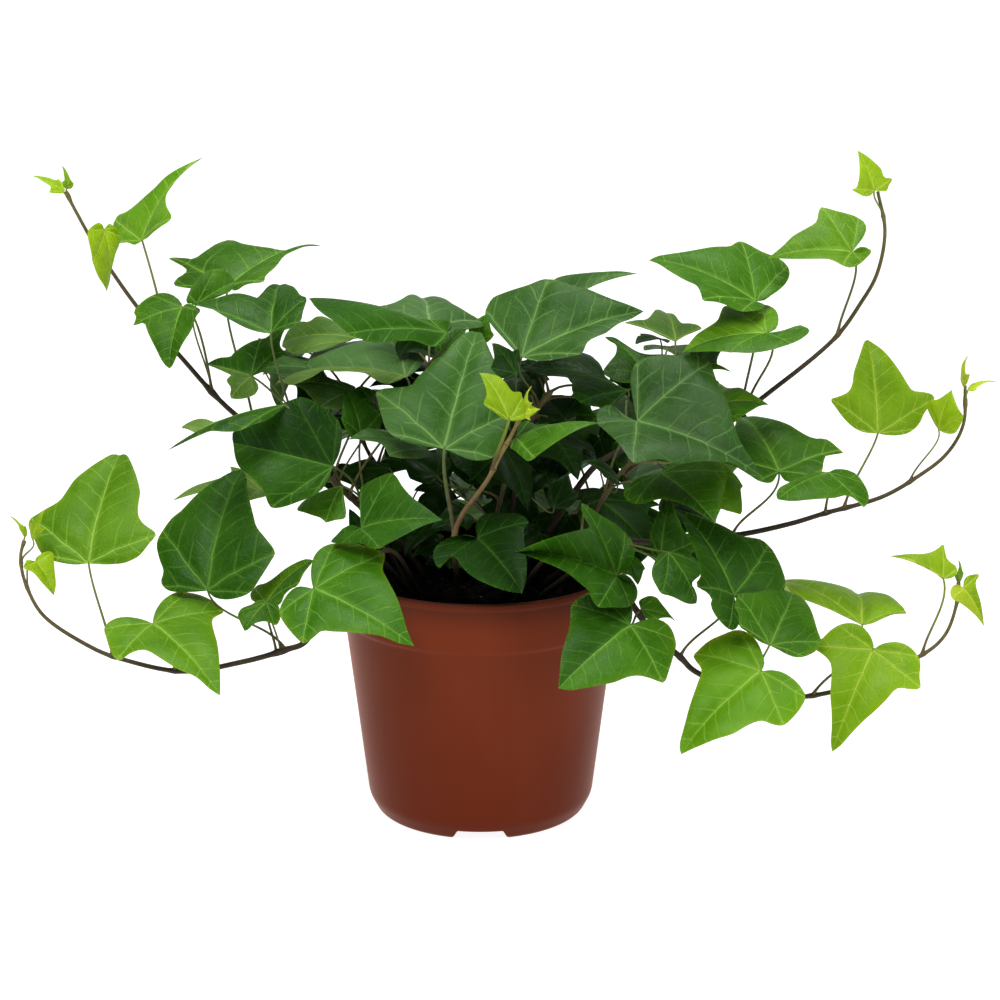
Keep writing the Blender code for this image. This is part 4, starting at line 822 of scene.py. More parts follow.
# Their leaves: how many each carries to the rear and over the soil, and how many draws each is chosen
# from. The crown's filling is judged at steps of the view, and nothing stands nearer than the front
REAR_LEAVES = 11
INNER_LEAVES = 5
REAR_SEED = 20
REAR_DRAWS = 120
REAR_CELL = 4.0
REAR_GAP = 0.5
INNER_FRONT = 2.0
# The small leaves deep inside, painted dark as shade, which only close what is still open between the others
INSIDE_LEAVES = 70
INSIDE_SEED = 7
INSIDE_DRAWS = 110
INSIDE_CELL = 3.0
INSIDE_GAP = 0.3
INSIDE_FRONT = -14.0
INSIDE_BACK = 46.0
# Where the leaves' own numbers start, after those of the readings
REAR_NUMBERS = 200
GLIMPSED_NUMBERS = 300
INSIDE_NUMBERS = 400
# The depths that a glimpsed leaf is tried at, and how badly it may at most cross another
GLIMPSED_DEPTHS = np.arange(-44.0, 70.0, 2.5)
WORST_CROSSING = 30
# Leaves that are glimpsed between the others: stem, kind, where the stalk leaves it, foot, tip, one
# lobe, other lobe, tone
GLIMPSED: list[tuple[str, str, Place, Place, Place, Place, Place, str]] = [
    ("stem_left", "plain", (-62, 138), (-54, 176), (-80, 179), (-68, 168), (-63, 181), "x"),
    ("stem_left", "plain", (-60, 136), (-46, 172), (-60, 172), (-52, 164), (-50, 178), "e"),
    ("stem_left", "plain", (-52, 128), (-38, 143), (-60, 140), (-51, 135.5), (-50, 146.5), "n"),
    ("stem_centre", "heart", (6, 118), (-16, 136), (-28, 134), (-22, 128.5), (-22, 139.5), "n"),
    ("stem_top_right", "plain", (18, 150), (15, 183), (5, 196), (4, 185), (14, 191.5), "d"),
    ("stem_top", "plain", (-20, 176), (-2, 197), (3, 208), (-4, 204), (5.8, 199.5), "m"),
    ("stem_top", "plain", (-18, 160), (12, 186), (16, 193.5), (10.5, 191.5), (17, 187), "d"),
    ("stem_centre", "plain", (10, 136), (31, 127), (37, 141), (29, 136), (41.5, 132), "n"),
    ("stem_front_right", "plain", (40, 110), (61, 107), (66.5, 94.5), (60, 99), (69, 101.5), "e"),
    ("stem_left", "plain", (-66, 142), (-66, 184), (-98, 184), (-82, 179), (-82, 191), "g"),
    ("stem_right", "plain", (52, 130), (58, 138), (44, 146), (52, 139.5), (50, 148), "n"),
    ("stem_left", "heart", (-58, 134), (-92, 190), (-82, 202), (-93, 198), (-81, 192), "e"),
    ("stem_top_right", "plain", (20, 156), (44, 176), (28, 186), (38, 179.5), (38, 188), "d"),
    ("stem_top", "plain", (-20, 172), (-16, 191), (-6, 202), (-17, 199), (-7, 193), "e"),
    ("stem_top", "heart", (-16, 150), (-26, 180), (-47, 178), (-36, 185), (-37, 173), "n"),
]
# The openings again, at the size that they have in the photo
INSIDE_OPENINGS = np.array([
    (-85, 196, 2.5), (-54, 196, 3), (-56, 180, 2.2), (-52, 180, 2.2), (-88, 174.5, 5), (-84, 175, 3),
    (-50, 150, 3.8), (-44.5, 149.5, 2.5), (-40.5, 149.5, 1.2), (-54, 131.5, 3.2), (-53.5, 128, 1.5),
    (-32, 138, 1.4), (-28, 136.5, 2.2), (-56, 120.5, 1.5), (-66, 117, 4), (8, 195, 3),
    (11.5, 192, 2), (30, 179.5, 1.4), (36, 178, 1.6), (50, 192, 6), (54, 190, 4.5), (51, 185, 1.6),
    (48.5, 143, 1.6), (46, 137.5, 2.4), (50, 136.5, 2.4), (53.5, 138.5, 1.8), (70, 97, 5.5),
    (74, 130.5, 2), (102, 128, 3)], float)
# The crown's extent and outline in the view, and the openings through it that rear leaves keep out of
CROWN_ACROSS, CROWN_UP = (-132.0, 148.0), (92.0, 224.0)
CROWN = np.array([
    (-102, 152), (-101, 164), (-83, 173), (-96, 181), (-104, 188), (-88, 199), (-82, 205), (-72, 211),
    (-50, 210), (-32, 213), (-18, 213), (0, 203), (6, 212), (28, 220), (50, 213), (66, 209), (62, 199),
    (80, 204), (100, 208), (120, 204), (120, 194), (98, 190), (106, 176), (110, 165), (128, 160),
    (144, 152), (140, 142), (122, 140), (104, 145), (108, 136), (98, 122), (112, 113), (124, 104),
    (124, 94), (110, 80), (96, 92), (90, 92), (74, 92), (60, 86), (50, 96), (20, 100), (-20, 100),
    (-40, 110), (-60, 106), (-60, 118), (-74, 128), (-88, 128), (-92, 142)], float)
OPENINGS = np.array([
    (-50, 150, 7), (-53, 131, 6), (-26, 137, 7), (-35, 137, 4), (50, 138, 7), (33, 179, 6), (51, 190, 8),
    (8, 196, 7), (70, 97, 7), (75, 131, 5), (-54, 180, 6), (-53, 197, 6), (-64, 175, 3), (-72, 209, 5),
    (-85, 197, 5), (-20, 193, 4), (38, 136, 4), (-66, 116, 6), (16, 189, 3), (102, 128, 5)], float)
# The pot's own outline in the view, which hides what hangs behind it
POT_SHADE = np.array([(-58, 103), (-54, 80), (-46, 14), (46, 14), (54, 80), (58, 103)], float)

# How a blade bends, how far its lobes are drawn over, where its stalk aims, all as shares of its length
ARCH = 0.07
FOLD = 0.20
PULL_LIMIT = 0.32
FAN_MIDDLE = 0.3
# The least that a sight line is taken to rise over a blade's plane, for one that meets it edge on
EDGE_ON = 60.0
# How flat places may run past a blade's own sides and ends
FLAT_LOW, FLAT_HIGH = (-0.9, -0.5), (0.9, 1.2)
# The length of leaf that the meshes' steps are made for, and the one from which ribs show in full
USUAL_LENGTH = 34.0
DETAIL_LENGTH = 30.0
# A usual leaf's steps: along a margin up to the side lobe, on to the tip, and from midrib to margin
LOW_STEPS = 15
HIGH_STEPS = 19
COLUMN_STEPS = 8
# How high a blade cushions between its ribs and over what width, as shares of its length
CUSHION = 0.020
CUSHION_WIDTH = 0.055
# How far a margin waves where it was read and where it was drawn, and how far a tip may droop
READ_WAVE = 0.010
DRAWN_WAVE = 0.016
DROOP = 0.05
DROOP_START = 0.6
# Half a blade's thickness
HALF_THICKNESS = 0.17
# How stout the shoot's and the other leaf stalks are, and the open and the hidden stems, against the part's
SHOOT_STALKS, OTHER_STALKS = 1.25, 0.78
OPEN_STEMS, HIDDEN_STEMS = 0.84, 0.68
# The shifts in depth that are tried in turn where a leaf has no room
DEPTH_STEPS = [0.0] + [sign * 2.5 * step for step in range(1, 19) for sign in (1, -1)]


@dataclass
class Blade:
    """One leaf blade: its kind, foot, length and its own right and forward directions."""

    kind: Kind
    foot: Array
    size: float
    right: Array
    forward: Array
    pulls: Array = field(default_factory=lambda: np.zeros((2, 3)))

    def __post_init__(self) -> None:
        """The upper side is right crossed with forward."""
        self.upper = np.cross(self.right, self.forward)

    def surface(self, flat: Array) -> Array:
        """Points of the bent blade for flat places (s across, t along) of a blade of length one.

        The blade arches along its length by ARCH times 4 t (1 - t), folds upward from its midrib by
        FOLD times (|s| - s squared over the lobe's half width), and each side is drawn over by its
        pull in proportion to |s| and to how far t is from the tip.

        Args:
            flat: the flat places, one row each.

        Returns:
            The points in space.
        """
        s, t = flat[:, 0], flat[:, 1]
        half, along = LOBE_PLACES[self.kind]
        lift = ARCH * np.where(t > 0, 4 * t * (1 - t), 2 * t) + FOLD * (abs(s) - s * s / half)
        share = abs(s) / half * np.clip((1 - t) / (1 - along), 0, 1)
        pulled = share[:, None] * self.pulls[(s > 0).astype(int)]
        return self.foot + pulled + self.size * (
            np.outer(s, self.right) + np.outer(t, self.forward) + np.outer(lift, self.upper))

    def pull_lobes(self, right: Array, above: Array, places: Sequence[Array], scale: float) -> None:
        """Draw the side lobes over to where they are seen, as the growing leaf has bent them."""
        half, along = LOBE_PLACES[self.kind]
        lobes = self.surface(np.array([(-half, along), (half, along)]))
        miss = (np.array(places) - EYE.view_place(lobes)) * scale
        short = np.minimum(1, PULL_LIMIT * self.size / np.maximum(1e-6, np.linalg.norm(miss, axis=1)))
        miss = miss * short[:, None]
        self.pulls = np.outer(miss[:, 0], right) + np.outer(miss[:, 1], above)

    def flat_places(self, seen: Array) -> Array:
        """The flat places of the bent blade that are seen at given places in the view.

        Each sight line first meets the blade's plane at its foot. Eight steps then lead the flat
        place to where the bent blade is seen there, each held short where it is seen edge on.

        Args:
            seen: places in the view, one row each.

        Returns:
            The flat places (s across, t along).
        """
        ray = EYE.ray(seen)
        steep = ray @ self.upper
        steep = np.where(np.abs(steep) < EDGE_ON, np.where(steep < 0, -EDGE_ON, EDGE_ON), steep)
        reach = (self.foot - EYE.place) @ self.upper / steep
        offset = EYE.place + reach[:, None] * ray - self.foot
        flat = np.stack([offset @ self.right, offset @ self.forward], 1) / self.size
        flat = np.clip(flat, FLAT_LOW, FLAT_HIGH)
        for _ in range(8):
            here = EYE.view_place(self.surface(flat))
            slopes = np.stack([(EYE.view_place(self.surface(flat + 1e-3 * step)) - here) / 1e-3
                               for step in np.eye(2)], -1)
            turned = slopes.transpose(0, 2, 1)
            square = turned @ slopes + (0.12 * self.size) ** 2 * np.eye(2)
            move = np.linalg.solve(square, turned @ (seen - here)[..., None])[..., 0]
            flat = np.clip(flat + np.clip(move, -0.15, 0.15), FLAT_LOW, FLAT_HIGH)
        return flat

    def rim(self) -> Array:
        """The part's own bent outline in space: foot, right side, tip, left side."""
        side = GUARD_SHAPES[self.kind]
        flat = [(0.0, 0.0)] + side + [(0.0, 1.0)] + [(-s, t) for s, t in reversed(side)]
        return self.surface(np.array(flat))

    def ends(self) -> Array:
        """Where the foot and the tip of the bent blade are seen."""
        return EYE.view_place(self.surface(np.array([[0.0, 0.0], [0.0, 1.0]])))

    def middle(self) -> Array:
        """The point of the bent midrib that the stalk's end aims at."""
        return self.surface(np.array([[0.0, FAN_MIDDLE]]))[0]


def read_blade(kind: Kind, foot: Array, tip: Array, one: Array, two: Array, depth: float) -> Blade:
    """The blade whose foot, tip and side lobes are seen at given places, facing up where it can.

    A flat leaf of known proportions has two poses with one view. Its length follows from the seen
    length, the seen width and the angle between them, and the pose whose upper side faces up is kept.

    Args:
        kind: the blade's kind.
        foot, tip, one, two: the places in the view.
        depth: the foot's y.

    Returns:
        The blade, its lobes drawn over to where they are seen.
    """
    foot, tip, one, two = (np.array(place, float) for place in (foot, tip, one, two))
    point = EYE.seen_point(foot[0], foot[1], depth)
    near = unit(EYE.place - point)
    right = unit(np.cross(EYE.up, near))
    above = np.cross(near, right)
    scale = (EYE.place - point) @ EYE.back / EYE.distance
    along = (tip - foot) * scale
    wide = (two - one) * scale / (2 * LOBE_PLACES[kind][0])
    if wide[0] * along[1] < wide[1] * along[0]:
        wide, one, two = -wide, two, one
    p, q, r = along @ along, wide @ wide, along @ wide
    size = math.sqrt((p + q + math.sqrt((p - q) ** 2 + 4 * r * r)) / 2)
    poses = []
    for lean in (1, -1):
        toward = lean * math.sqrt(max(0.0, 1 - p / size ** 2))
        roll = -lean * math.copysign(math.sqrt(max(0.0, 1 - q / size ** 2)), r)
        forward = unit((along[0] * right + along[1] * above) / size + toward * near)
        side = unit((wide[0] * right + wide[1] * above) / size + roll * near)
        side = unit(side - (side @ forward) * forward)
        poses.append(Blade(kind, point, size, side, forward))
    chosen = max(poses, key=lambda blade: blade.upper[2])
    chosen.pull_lobes(right, above, [one, two], scale)
    return chosen


def smooth_path(points: Array, steps: int) -> Array:
    """A Catmull-Rom path through the points, cut into the given steps a span."""
    points = np.asarray(points, float)
    padded = np.vstack([2 * points[0] - points[1], points, 2 * points[-1] - points[-2]])
    t = np.linspace(0, 1, steps, endpoint=False)[:, None]
    path = []
    for a, b, c, d in zip(padded, padded[1:], padded[2:], padded[3:]):
        path.append(0.5 * (2 * b + (c - a) * t + (2 * a - 5 * b + 4 * c - d) * t ** 2
                           + (3 * b - a - 3 * c + d) * t ** 3))
    return np.vstack(path + [points[-1:]])


def stem_path(hole: Place, places: Sequence[tuple], steps: int = 1) -> Array:
    """The stem's centre line from the bottom of its hole through its places in the view."""
    top = np.array([hole[0], hole[1], SOIL_TOP + 1.5])
    bottom = np.array([hole[0], hole[1], SOIL_TOP - STEM_SINK])
    seen = [EYE.seen_point(*place) for place in places]
    return np.vstack([bottom, smooth_path([top] + seen, steps)])


def petiole_path(start: Array, blade: Blade, sag: float, segments: int = 3) -> Array:
    """The leaf stalk from its place on the stem into the blade's foot, coming up from below it.

    Args:
        start: the place on the stem.
        blade: the blade that it carries.
        sag: how strongly it comes up from below the blade.
        segments: how many points the curve is cut into.

    Returns:
        Points of a cubic curve, and one more inside the blade.
    """
    foot = blade.foot
    span = np.linalg.norm(foot - start)
    arrive = unit(0.55 * blade.forward + 0.85 * blade.upper)
    leave = unit(0.5 * unit(foot - start) + np.array([0, 0, 0.7]))
    first = start + leave * span * 0.30
    second = foot - arrive * min(span * 0.35, 14.0) * sag
    t = np.linspace(0, 1, segments)[:, None]
    path = ((1 - t) ** 3 * start + 3 * t * (1 - t) ** 2 * first
            + 3 * t * t * (1 - t) * second + t ** 3 * foot)
    return np.vstack([path, foot + (blade.middle() - foot) * 2.6 / (FAN_MIDDLE * blade.size)])


def even_points(path: Array) -> Array:
    """Places along a stem above the soil, ten to each of its straight runs."""
    share = np.linspace(0, 1, 10, endpoint=False)[:, None]
    return np.vstack([a + (b - a) * share for a, b in zip(path[1:], path[2:])])


def inside(polygon: Array, places: Array) -> Array:
    """Whether each place lies within a closed polygon of the view."""
    x, y = places[:, 0][:, None], places[:, 1][:, None]
    ax, ay = polygon[:, 0], polygon[:, 1]
    bx, by = np.roll(ax, -1), np.roll(ay, -1)
    cross = ((ay > y) != (by > y)) & (x < (bx - ax) * (y - ay) / (by - ay + 1e-12) + ax)
    return cross.sum(1) % 2 == 1


@dataclass
class Item:
    """Something that takes up room: its stem, what it is, its box and its search tree."""

    node: str
    sort: str
    low: Array
    high: Array
    tree: BVHTree


@dataclass
class Room:
    """What has been placed so far, to keep new leaves clear of it."""

    items: list[Item] = field(default_factory=list)

    @staticmethod
    def item(node: str, sort: str, points: Array, faces: list[tuple[int, ...]]) -> Item:
        """An item for a guard's points and faces."""
        tree = BVHTree.FromPolygons([tuple(p) for p in points], faces)
        return Item(node, sort, points.min(0), points.max(0), tree)

    def slab(self, node: str, blade: Blade, gap: float = 0.85) -> Item:
        """A slab around a blade."""
        rim = np.vstack([blade.rim(), blade.middle()])
        last = len(rim) - 1
        points = np.vstack([rim + blade.upper * gap, rim - blade.upper * gap])
        faces: list[tuple[int, ...]] = []
        for i in range(last):
            j = (i + 1) % last
            faces += [(last, i, j), (2 * last + 1, j + last + 1, i + last + 1),
                      (i, i + last + 1, j), (j, i + last + 1, j + last + 1)]
        return self.item(node, "blade", points, faces)

    def tube(self, node: str, sort: str, path: Array, radius: float) -> Item:
        """A four sided tube around a path."""
        rings, faces = [], []
        for i, point in enumerate(path):
            ahead = unit(path[min(i + 1, len(path) - 1)] - path[max(i - 1, 0)])
            aside = unit(np.cross(ahead, [0.31, 0.52, 0.79]))
            other = np.cross(ahead, aside)
            rings += [point + radius * aside, point + radius * other, point - radius * aside,
                      point - radius * other]
        for i in range(len(path) - 1):
            for k in range(4):
                a, b = 4 * i + k, 4 * i + (k + 1) % 4
                faces += [(a, b, a + 4), (b, b + 4, a + 4)]
        return self.item(node, sort, np.array(rings), faces)

    def pot(self) -> Item:
        """A shell just outside the pot and over the soil."""
        rings = [(POT_BASE_RADIUS + 1, 0.0), (POT_RIM_RADIUS + 1, POT_HEIGHT - POT_BAND_HEIGHT),
                 (POT_RIM_RADIUS + 1, POT_HEIGHT + 1), (POT_RIM_RADIUS - 4, POT_HEIGHT + 1),
                 (POT_RIM_RADIUS - 4, SOIL_TOP + 0.7), (0.1, SOIL_TOP + 0.7)]
        turns = np.linspace(0, 2 * math.pi, 24, endpoint=False)
        points = [(radius * math.cos(turn), radius * math.sin(turn), height)
                  for radius, height in rings for turn in turns]
        faces: list[tuple[int, ...]] = []
        for row in range(len(rings) - 1):
            for k in range(24):
                a, b = 24 * row + k, 24 * row + (k + 1) % 24
                faces += [(a, b, a + 24), (b, b + 24, a + 24)]
        return self.item("pot", "pot", np.array(points), faces)

    def clashes(self, new: Item) -> int:
        """How badly a new item comes too near the placed ones, weighed by what it meets."""
        worst = 0
        for other in self.items:
            if (new.low > other.high).any() or (new.high < other.low).any():
                continue
            if other.node == new.node and "blade" not in (new.sort, other.sort):
                continue
            if other.node == new.node and other.sort == "stem":
                continue
            if new.tree.overlap(other.tree):
                worst += 1 if other.node == new.node else 10
        return worst

    def settle(self, node: str, start: Array, pose_at: Callable[[float], Blade]) -> tuple[Blade, float]:
        """Place one leaf and its stalk at the first depth where both are clear of what stands there.

        Args:
            node: the leaf's stem.
            start: where its stalk leaves the stem.
            pose_at: the blade for a shift in depth.

        Returns:
            The blade, and the sag of its stalk.
        """
        best = None
        for shift in DEPTH_STEPS:
            blade = pose_at(shift)
            slab = self.slab(node, blade)
            cost = self.clashes(slab)
            if best is not None and cost >= best[0]:
                continue
            for sag in (1.0, 0.3, 1.8, -0.6):
                tube = self.tube(node, "stalk", petiole_path(start, blade, sag)[:-1],
                                 PETIOLE_RADIUS + 0.5)
                total = cost + self.clashes(tube) + abs(shift) * 0.001
                if best is None or total < best[0]:
                    best = (total, blade, sag, slab, tube)
                if total < 1:
                    break
            if best[0] < 1:
                break
        self.items += [best[3], best[4]]
        return best[1], best[2]


# Meshes worked out as whole arrays


def grid_faces(rows: int, columns: int, closed: bool = False) -> Array:
    """Triangles over a grid of points stored row by row, facing the side where columns cross rows.

    Args:
        rows, columns: the grid's size.
        closed: whether the last column joins the first.

    Returns:
        One row of three indices a triangle.
    """
    across = columns if closed else columns - 1
    i, j = np.meshgrid(np.arange(rows - 1), np.arange(across), indexing="ij")
    a, b = (i * columns + j).ravel(), (i * columns + (j + 1) % columns).ravel()
    c, d = b + columns, a + columns
    return np.concatenate([np.stack([a, b, c], 1), np.stack([a, c, d], 1)])


def frames(path: Array) -> tuple[Array, Array]:
    """Two directions square to a path at each of its points, from one fixed direction off it."""
    ahead = units(np.gradient(path, axis=0))
    reference = np.eye(3)[int(np.argmin(np.abs(ahead).max(0)))]
    aside = units(np.cross(ahead, reference))
    return aside, np.cross(ahead, aside)


def tube(path: Array, radii: Array, sides: int) -> tuple[Array, Array]:
    """A closed round tube: at each path point a ring of the given radius, the ends drawn to a point.

    Args:
        path: the centre line.
        radii: the radius at each of its points.
        sides: points a ring.

    Returns:
        The points and the triangles, facing outwards.
    """
    path = np.vstack([path[:1], path, path[-1:]])
    radii = np.concatenate([[0.001], radii, [0.001]])
    aside, other = frames(path + np.linspace(-1e-4, 1e-4, len(path))[:, None] * (path[-1] - path[0]))
    turn = np.linspace(0, 2 * math.pi, sides, endpoint=False)
    rings = (path[:, None] + radii[:, None, None]
             * (np.cos(turn)[None, :, None] * aside[:, None] + np.sin(turn)[None, :, None] * other[:, None]))
    return rings.reshape(-1, 3), grid_faces(len(path), sides, closed=True)


def welded(points: Array, faces: Array) -> tuple[Array, Array, Array]:
    """Points within a ten thousandth of a millimetre made one.

    Args:
        points, faces: the mesh.

    Returns:
        Which points stay, the triangles over them, and which triangles stay.
    """
    _, first, index = np.unique(np.round(points * 1e4).astype(np.int64), axis=0, return_index=True,
                                return_inverse=True)
    faces = index.reshape(-1)[faces]
    whole = (faces[:, 0] != faces[:, 1]) & (faces[:, 1] != faces[:, 2]) & (faces[:, 0] != faces[:, 2])
    return first, faces[whole], whole


@dataclass
class Gathering:
    """Shapes gathered into one mesh, with data on their points and on their triangles."""

    points: list[Array] = field(default_factory=list)
    faces: list[Array] = field(default_factory=list)
    point_data: dict[str, list[Array]] = field(default_factory=dict)
    face_data: dict[str, list[Array]] = field(default_factory=dict)
    count: int = 0

    def add(self, points: Array, faces: Array, point_data: dict[str, Array],
            face_data: dict[str, Array]) -> None:
        """Weld a shape and add it.

        Args:
            points, faces: the shape, in millimetres.
            point_data, face_data: three or four numbers for each point or triangle, or one set for all.
        """
        keep, faces, whole = welded(points, faces)
        total = len(points)
        self.points.append(points[keep])
        self.faces.append(faces + self.count)
        self.count += len(keep)
        for name, data in point_data.items():
            full = np.broadcast_to(data, (total, np.shape(data)[-1]))
            self.point_data.setdefault(name, []).append(full[keep])
        for name, data in face_data.items():
            full = np.broadcast_to(data, (len(whole), np.shape(data)[-1]))
            self.face_data.setdefault(name, []).append(full[whole])

    def build(self, name: str, material: bpy.types.Material, slot: str, sharp: float = 60.0,
              stands_for: Sequence[str] = ()) -> bpy.types.Object:
        """Make the object, its place in its mesh, and let it ride on the frame.

        Args:
            name: the piece's name.
            material: its finish.
            slot: the name of the piece's material slot; not used.
            sharp: the angle in degrees past which an edge is shaded sharp.
            stands_for: the frame's nodes that it replaces.

        Returns:
            The finished object.
        """
        points, faces = np.concatenate(self.points) * MM, np.concatenate(self.faces)
        mesh = bpy.data.meshes.new(name)
        mesh.vertices.add(len(points))
        mesh.vertices.foreach_set("co", points.astype(np.float32).ravel())
        mesh.loops.add(faces.size)
        mesh.loops.foreach_set("vertex_index", faces.astype(np.int32).ravel())
        mesh.polygons.add(len(faces))
        mesh.polygons.foreach_set("loop_start", np.arange(0, faces.size, 3, dtype=np.int32))
        mesh.update(calc_edges=True)
        for domain, stored in (("POINT", self.point_data), ("FACE", self.face_data)):
            for key, parts in stored.items():
                data = np.concatenate(parts).astype(np.float32)
                kind, slot_name = (("FLOAT_COLOR", "color") if data.shape[1] == 4
                                   else ("FLOAT_VECTOR", "vector"))
                mesh.attributes.new(key, kind, domain).data.foreach_set(slot_name, data.ravel())
        mesh.shade_smooth()
        mesh.set_sharp_from_angle(angle=math.radians(sharp))
        mesh.materials.append(material)
        piece = linked(name, mesh)
        ride(piece, stands_for)
        LOG.info("%s: %d triangles", name, len(faces))
        return piece


def ride(piece: bpy.types.Object, stands_for: Sequence[str]) -> None:
    """Let a piece ride on the frame and the nodes that it stands for."""
    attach(piece, "root")
    if stands_for:
        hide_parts(*stands_for)


# Finishes


@dataclass(frozen=True)
class LeafFinish:
    """Ivy leaf: waxy upper side with pale sunken ribs, side ribs and a faint net, paler matt underside."""

    name: str = "ivy_leaf"
    gloss: float = 0.36
    rib_width: float = 0.017
    side_ribs: float = 6.5
    net_scale: float = 15.0

    def rib(self, across: Number, along: Number, width: float) -> Number:
        """A rib's share at a point: 1 on its line, fading over its width, which shrinks outward."""
        local = (1.12 - along).most(0.12) * width
        return (across / local).step(1.0, 0.25) * along.step(-0.012, 0.0)

    def side_rib(self, across: Number, along: Number, wobble: Number) -> Number:
        """Side ribs that leave a main rib forward at a slant, as thin lines at even steps."""
        phase = (along - across * 0.85 + across * across * 0.5 + wobble) * self.side_ribs
        line = abs(phase.part() - 0.5)
        return line.step(0.085, 0.015) * across.step(0.30, 0.05)

    def build(self) -> bpy.types.Material:
        """Make the material from the attributes leaf_place, leaf_form and the leaf's three colours."""
        shade = Shade(self.name)
        s, t, seed = shade.split(shade.attribute("leaf_place"))
        lateral, basal, upper = shade.split(shade.attribute("leaf_form"))
        here = shade.join(s, t, seed)
        bend = shade.noise(here, 5.0, 2.0) - 0.5
        s_here, t_here = abs(s + bend * 0.035), t + (shade.noise(here, 7.0, 1.0) - 0.5) * 0.03
        lines, side, halos = [], [], []
        ribs = [(s_here, t_here, self.rib_width)]
        for angle, width in ((lateral, 0.68), (basal, 0.42)):
            sine, cosine = angle.math("SINE"), angle.math("COSINE")
            ribs.append((abs(s_here * cosine - t_here * sine), s_here * sine + t_here * cosine,
                         self.rib_width * width))
        for across, along, width in ribs:
            lines.append(self.rib(across, along, width))
            halos.append(self.rib(across, along, width * 3.6))
            side.append(self.side_rib(across, along, bend * 0.06))
        (mid, _, _), (lat, lat_along, _), (bas, bas_along, _) = ribs
        lat_gap = lat + lat_along.step(0.0, -0.05) * 9.0
        bas_gap = bas + bas_along.step(0.0, -0.05) * 9.0
        near_lat = (mid - lat_gap).step(-0.01, 0.01)
        first = side[0] * (1.0 - near_lat) + side[1] * near_lat
        near_bas = (mid.least(lat_gap) - bas_gap).step(-0.01, 0.01)
        branches = first * (1.0 - near_bas) + side[2] * near_bas
        main = lines[0].most(lines[1]).most(lines[2])
        halo = halos[0].most(halos[1]).most(halos[2])
        apart = abs(mid - lat_gap).least(abs(mid.least(lat_gap) - bas_gap))
        branches = branches * apart.step(0.0, 0.035) * mid.most(abs(t_here)).step(0.05, 0.16)
        net = shade.node("ShaderNodeTexVoronoi", {"feature": "DISTANCE_TO_EDGE"},
                         {"Vector": here, "Scale": self.net_scale, "Randomness": 0.9})
        detail = shade.node("ShaderNodeAttribute", {"attribute_name": "blade_color"}, {}, "Alpha")
        mesh_lines = net.step(0.07, 0.0) * detail
        ribs_all = (main * 0.66 + halo * 0.20 + branches * 0.34 + mesh_lines * 0.10).held()
        cloud = shade.noise(here, 2.6, 3.0, 0.55)
        grain = shade.noise(shade.place(), 900.0, 2.0, 0.6) * detail
        blade = shade.attribute("blade_color")
        blade = shade.mix((cloud - 0.38).held() * 1.1, blade,
                          shade.mix(1.0, blade, paint(178, 190, 150), "MULTIPLY"))
        blade = shade.mix((0.62 - cloud).held() * 0.5, blade, shade.attribute("rib_color"))
        blade = shade.mix(grain * 0.10, blade, shade.mix(1.0, blade, paint(150, 160, 120), "MULTIPLY"))
        top = shade.mix(ribs_all, blade, shade.attribute("rib_color"))
        under = shade.mix((main * 0.6 + branches * 0.35 + mesh_lines * 0.18).held(),
                          shade.attribute("under_color"), shade.attribute("rib_color"))
        shade.give("Base Color", shade.mix(upper, under, top))
        shade.give("Roughness",
                  (1.0 - upper) * 0.22 + self.gloss + main * 0.10 + (cloud - 0.5) * 0.16)
        sunk = (1.0 - upper * 2.0) * (main + branches * 0.45 + mesh_lines * 0.2)
        shade.bump(sunk * (detail * 0.8 + 0.2) + grain * 0.10 + cloud * 0.5, 0.55, 0.0006)
        shade.give("Specular IOR Level", 0.09)
        shade.give("Subsurface Weight", 0.10)
        shade.give("Subsurface Radius", (0.8, 1.0, 0.25))
        shade.give("Subsurface Scale", 0.0012)
        return shade.material


@dataclass(frozen=True)
class StalkFinish:
    """Stems and leaf stalks: thin bark over green, streaked along, with small pale pores."""

    name: str = "ivy_stalk"

    def build(self) -> bpy.types.Material:
        """Make the material from the attribute stalk_color."""
        shade = Shade(self.name)
        where = shade.place()
        streak = shade.noise(where, 420.0, 3.0, 0.6)
        pores = shade.node("ShaderNodeTexVoronoi", {}, {"Vector": where, "Scale": 700.0})
        base = shade.attribute("stalk_color")
        dark = shade.mix(1.0, base, paint(150, 138, 120), "MULTIPLY")
        color = shade.mix((streak - 0.3).held() * 1.1, base, dark)
        color = shade.mix(pores.step(0.22, 0.08) * 0.12, color, paint(150, 140, 104))
        shade.give("Base Color", color)
        shade.give("Roughness", streak * 0.25 + 0.42)
        shade.bump(streak - pores * 0.3, 0.5, 0.0003)
        shade.give("Specular IOR Level", 0.2)
        return shade.material


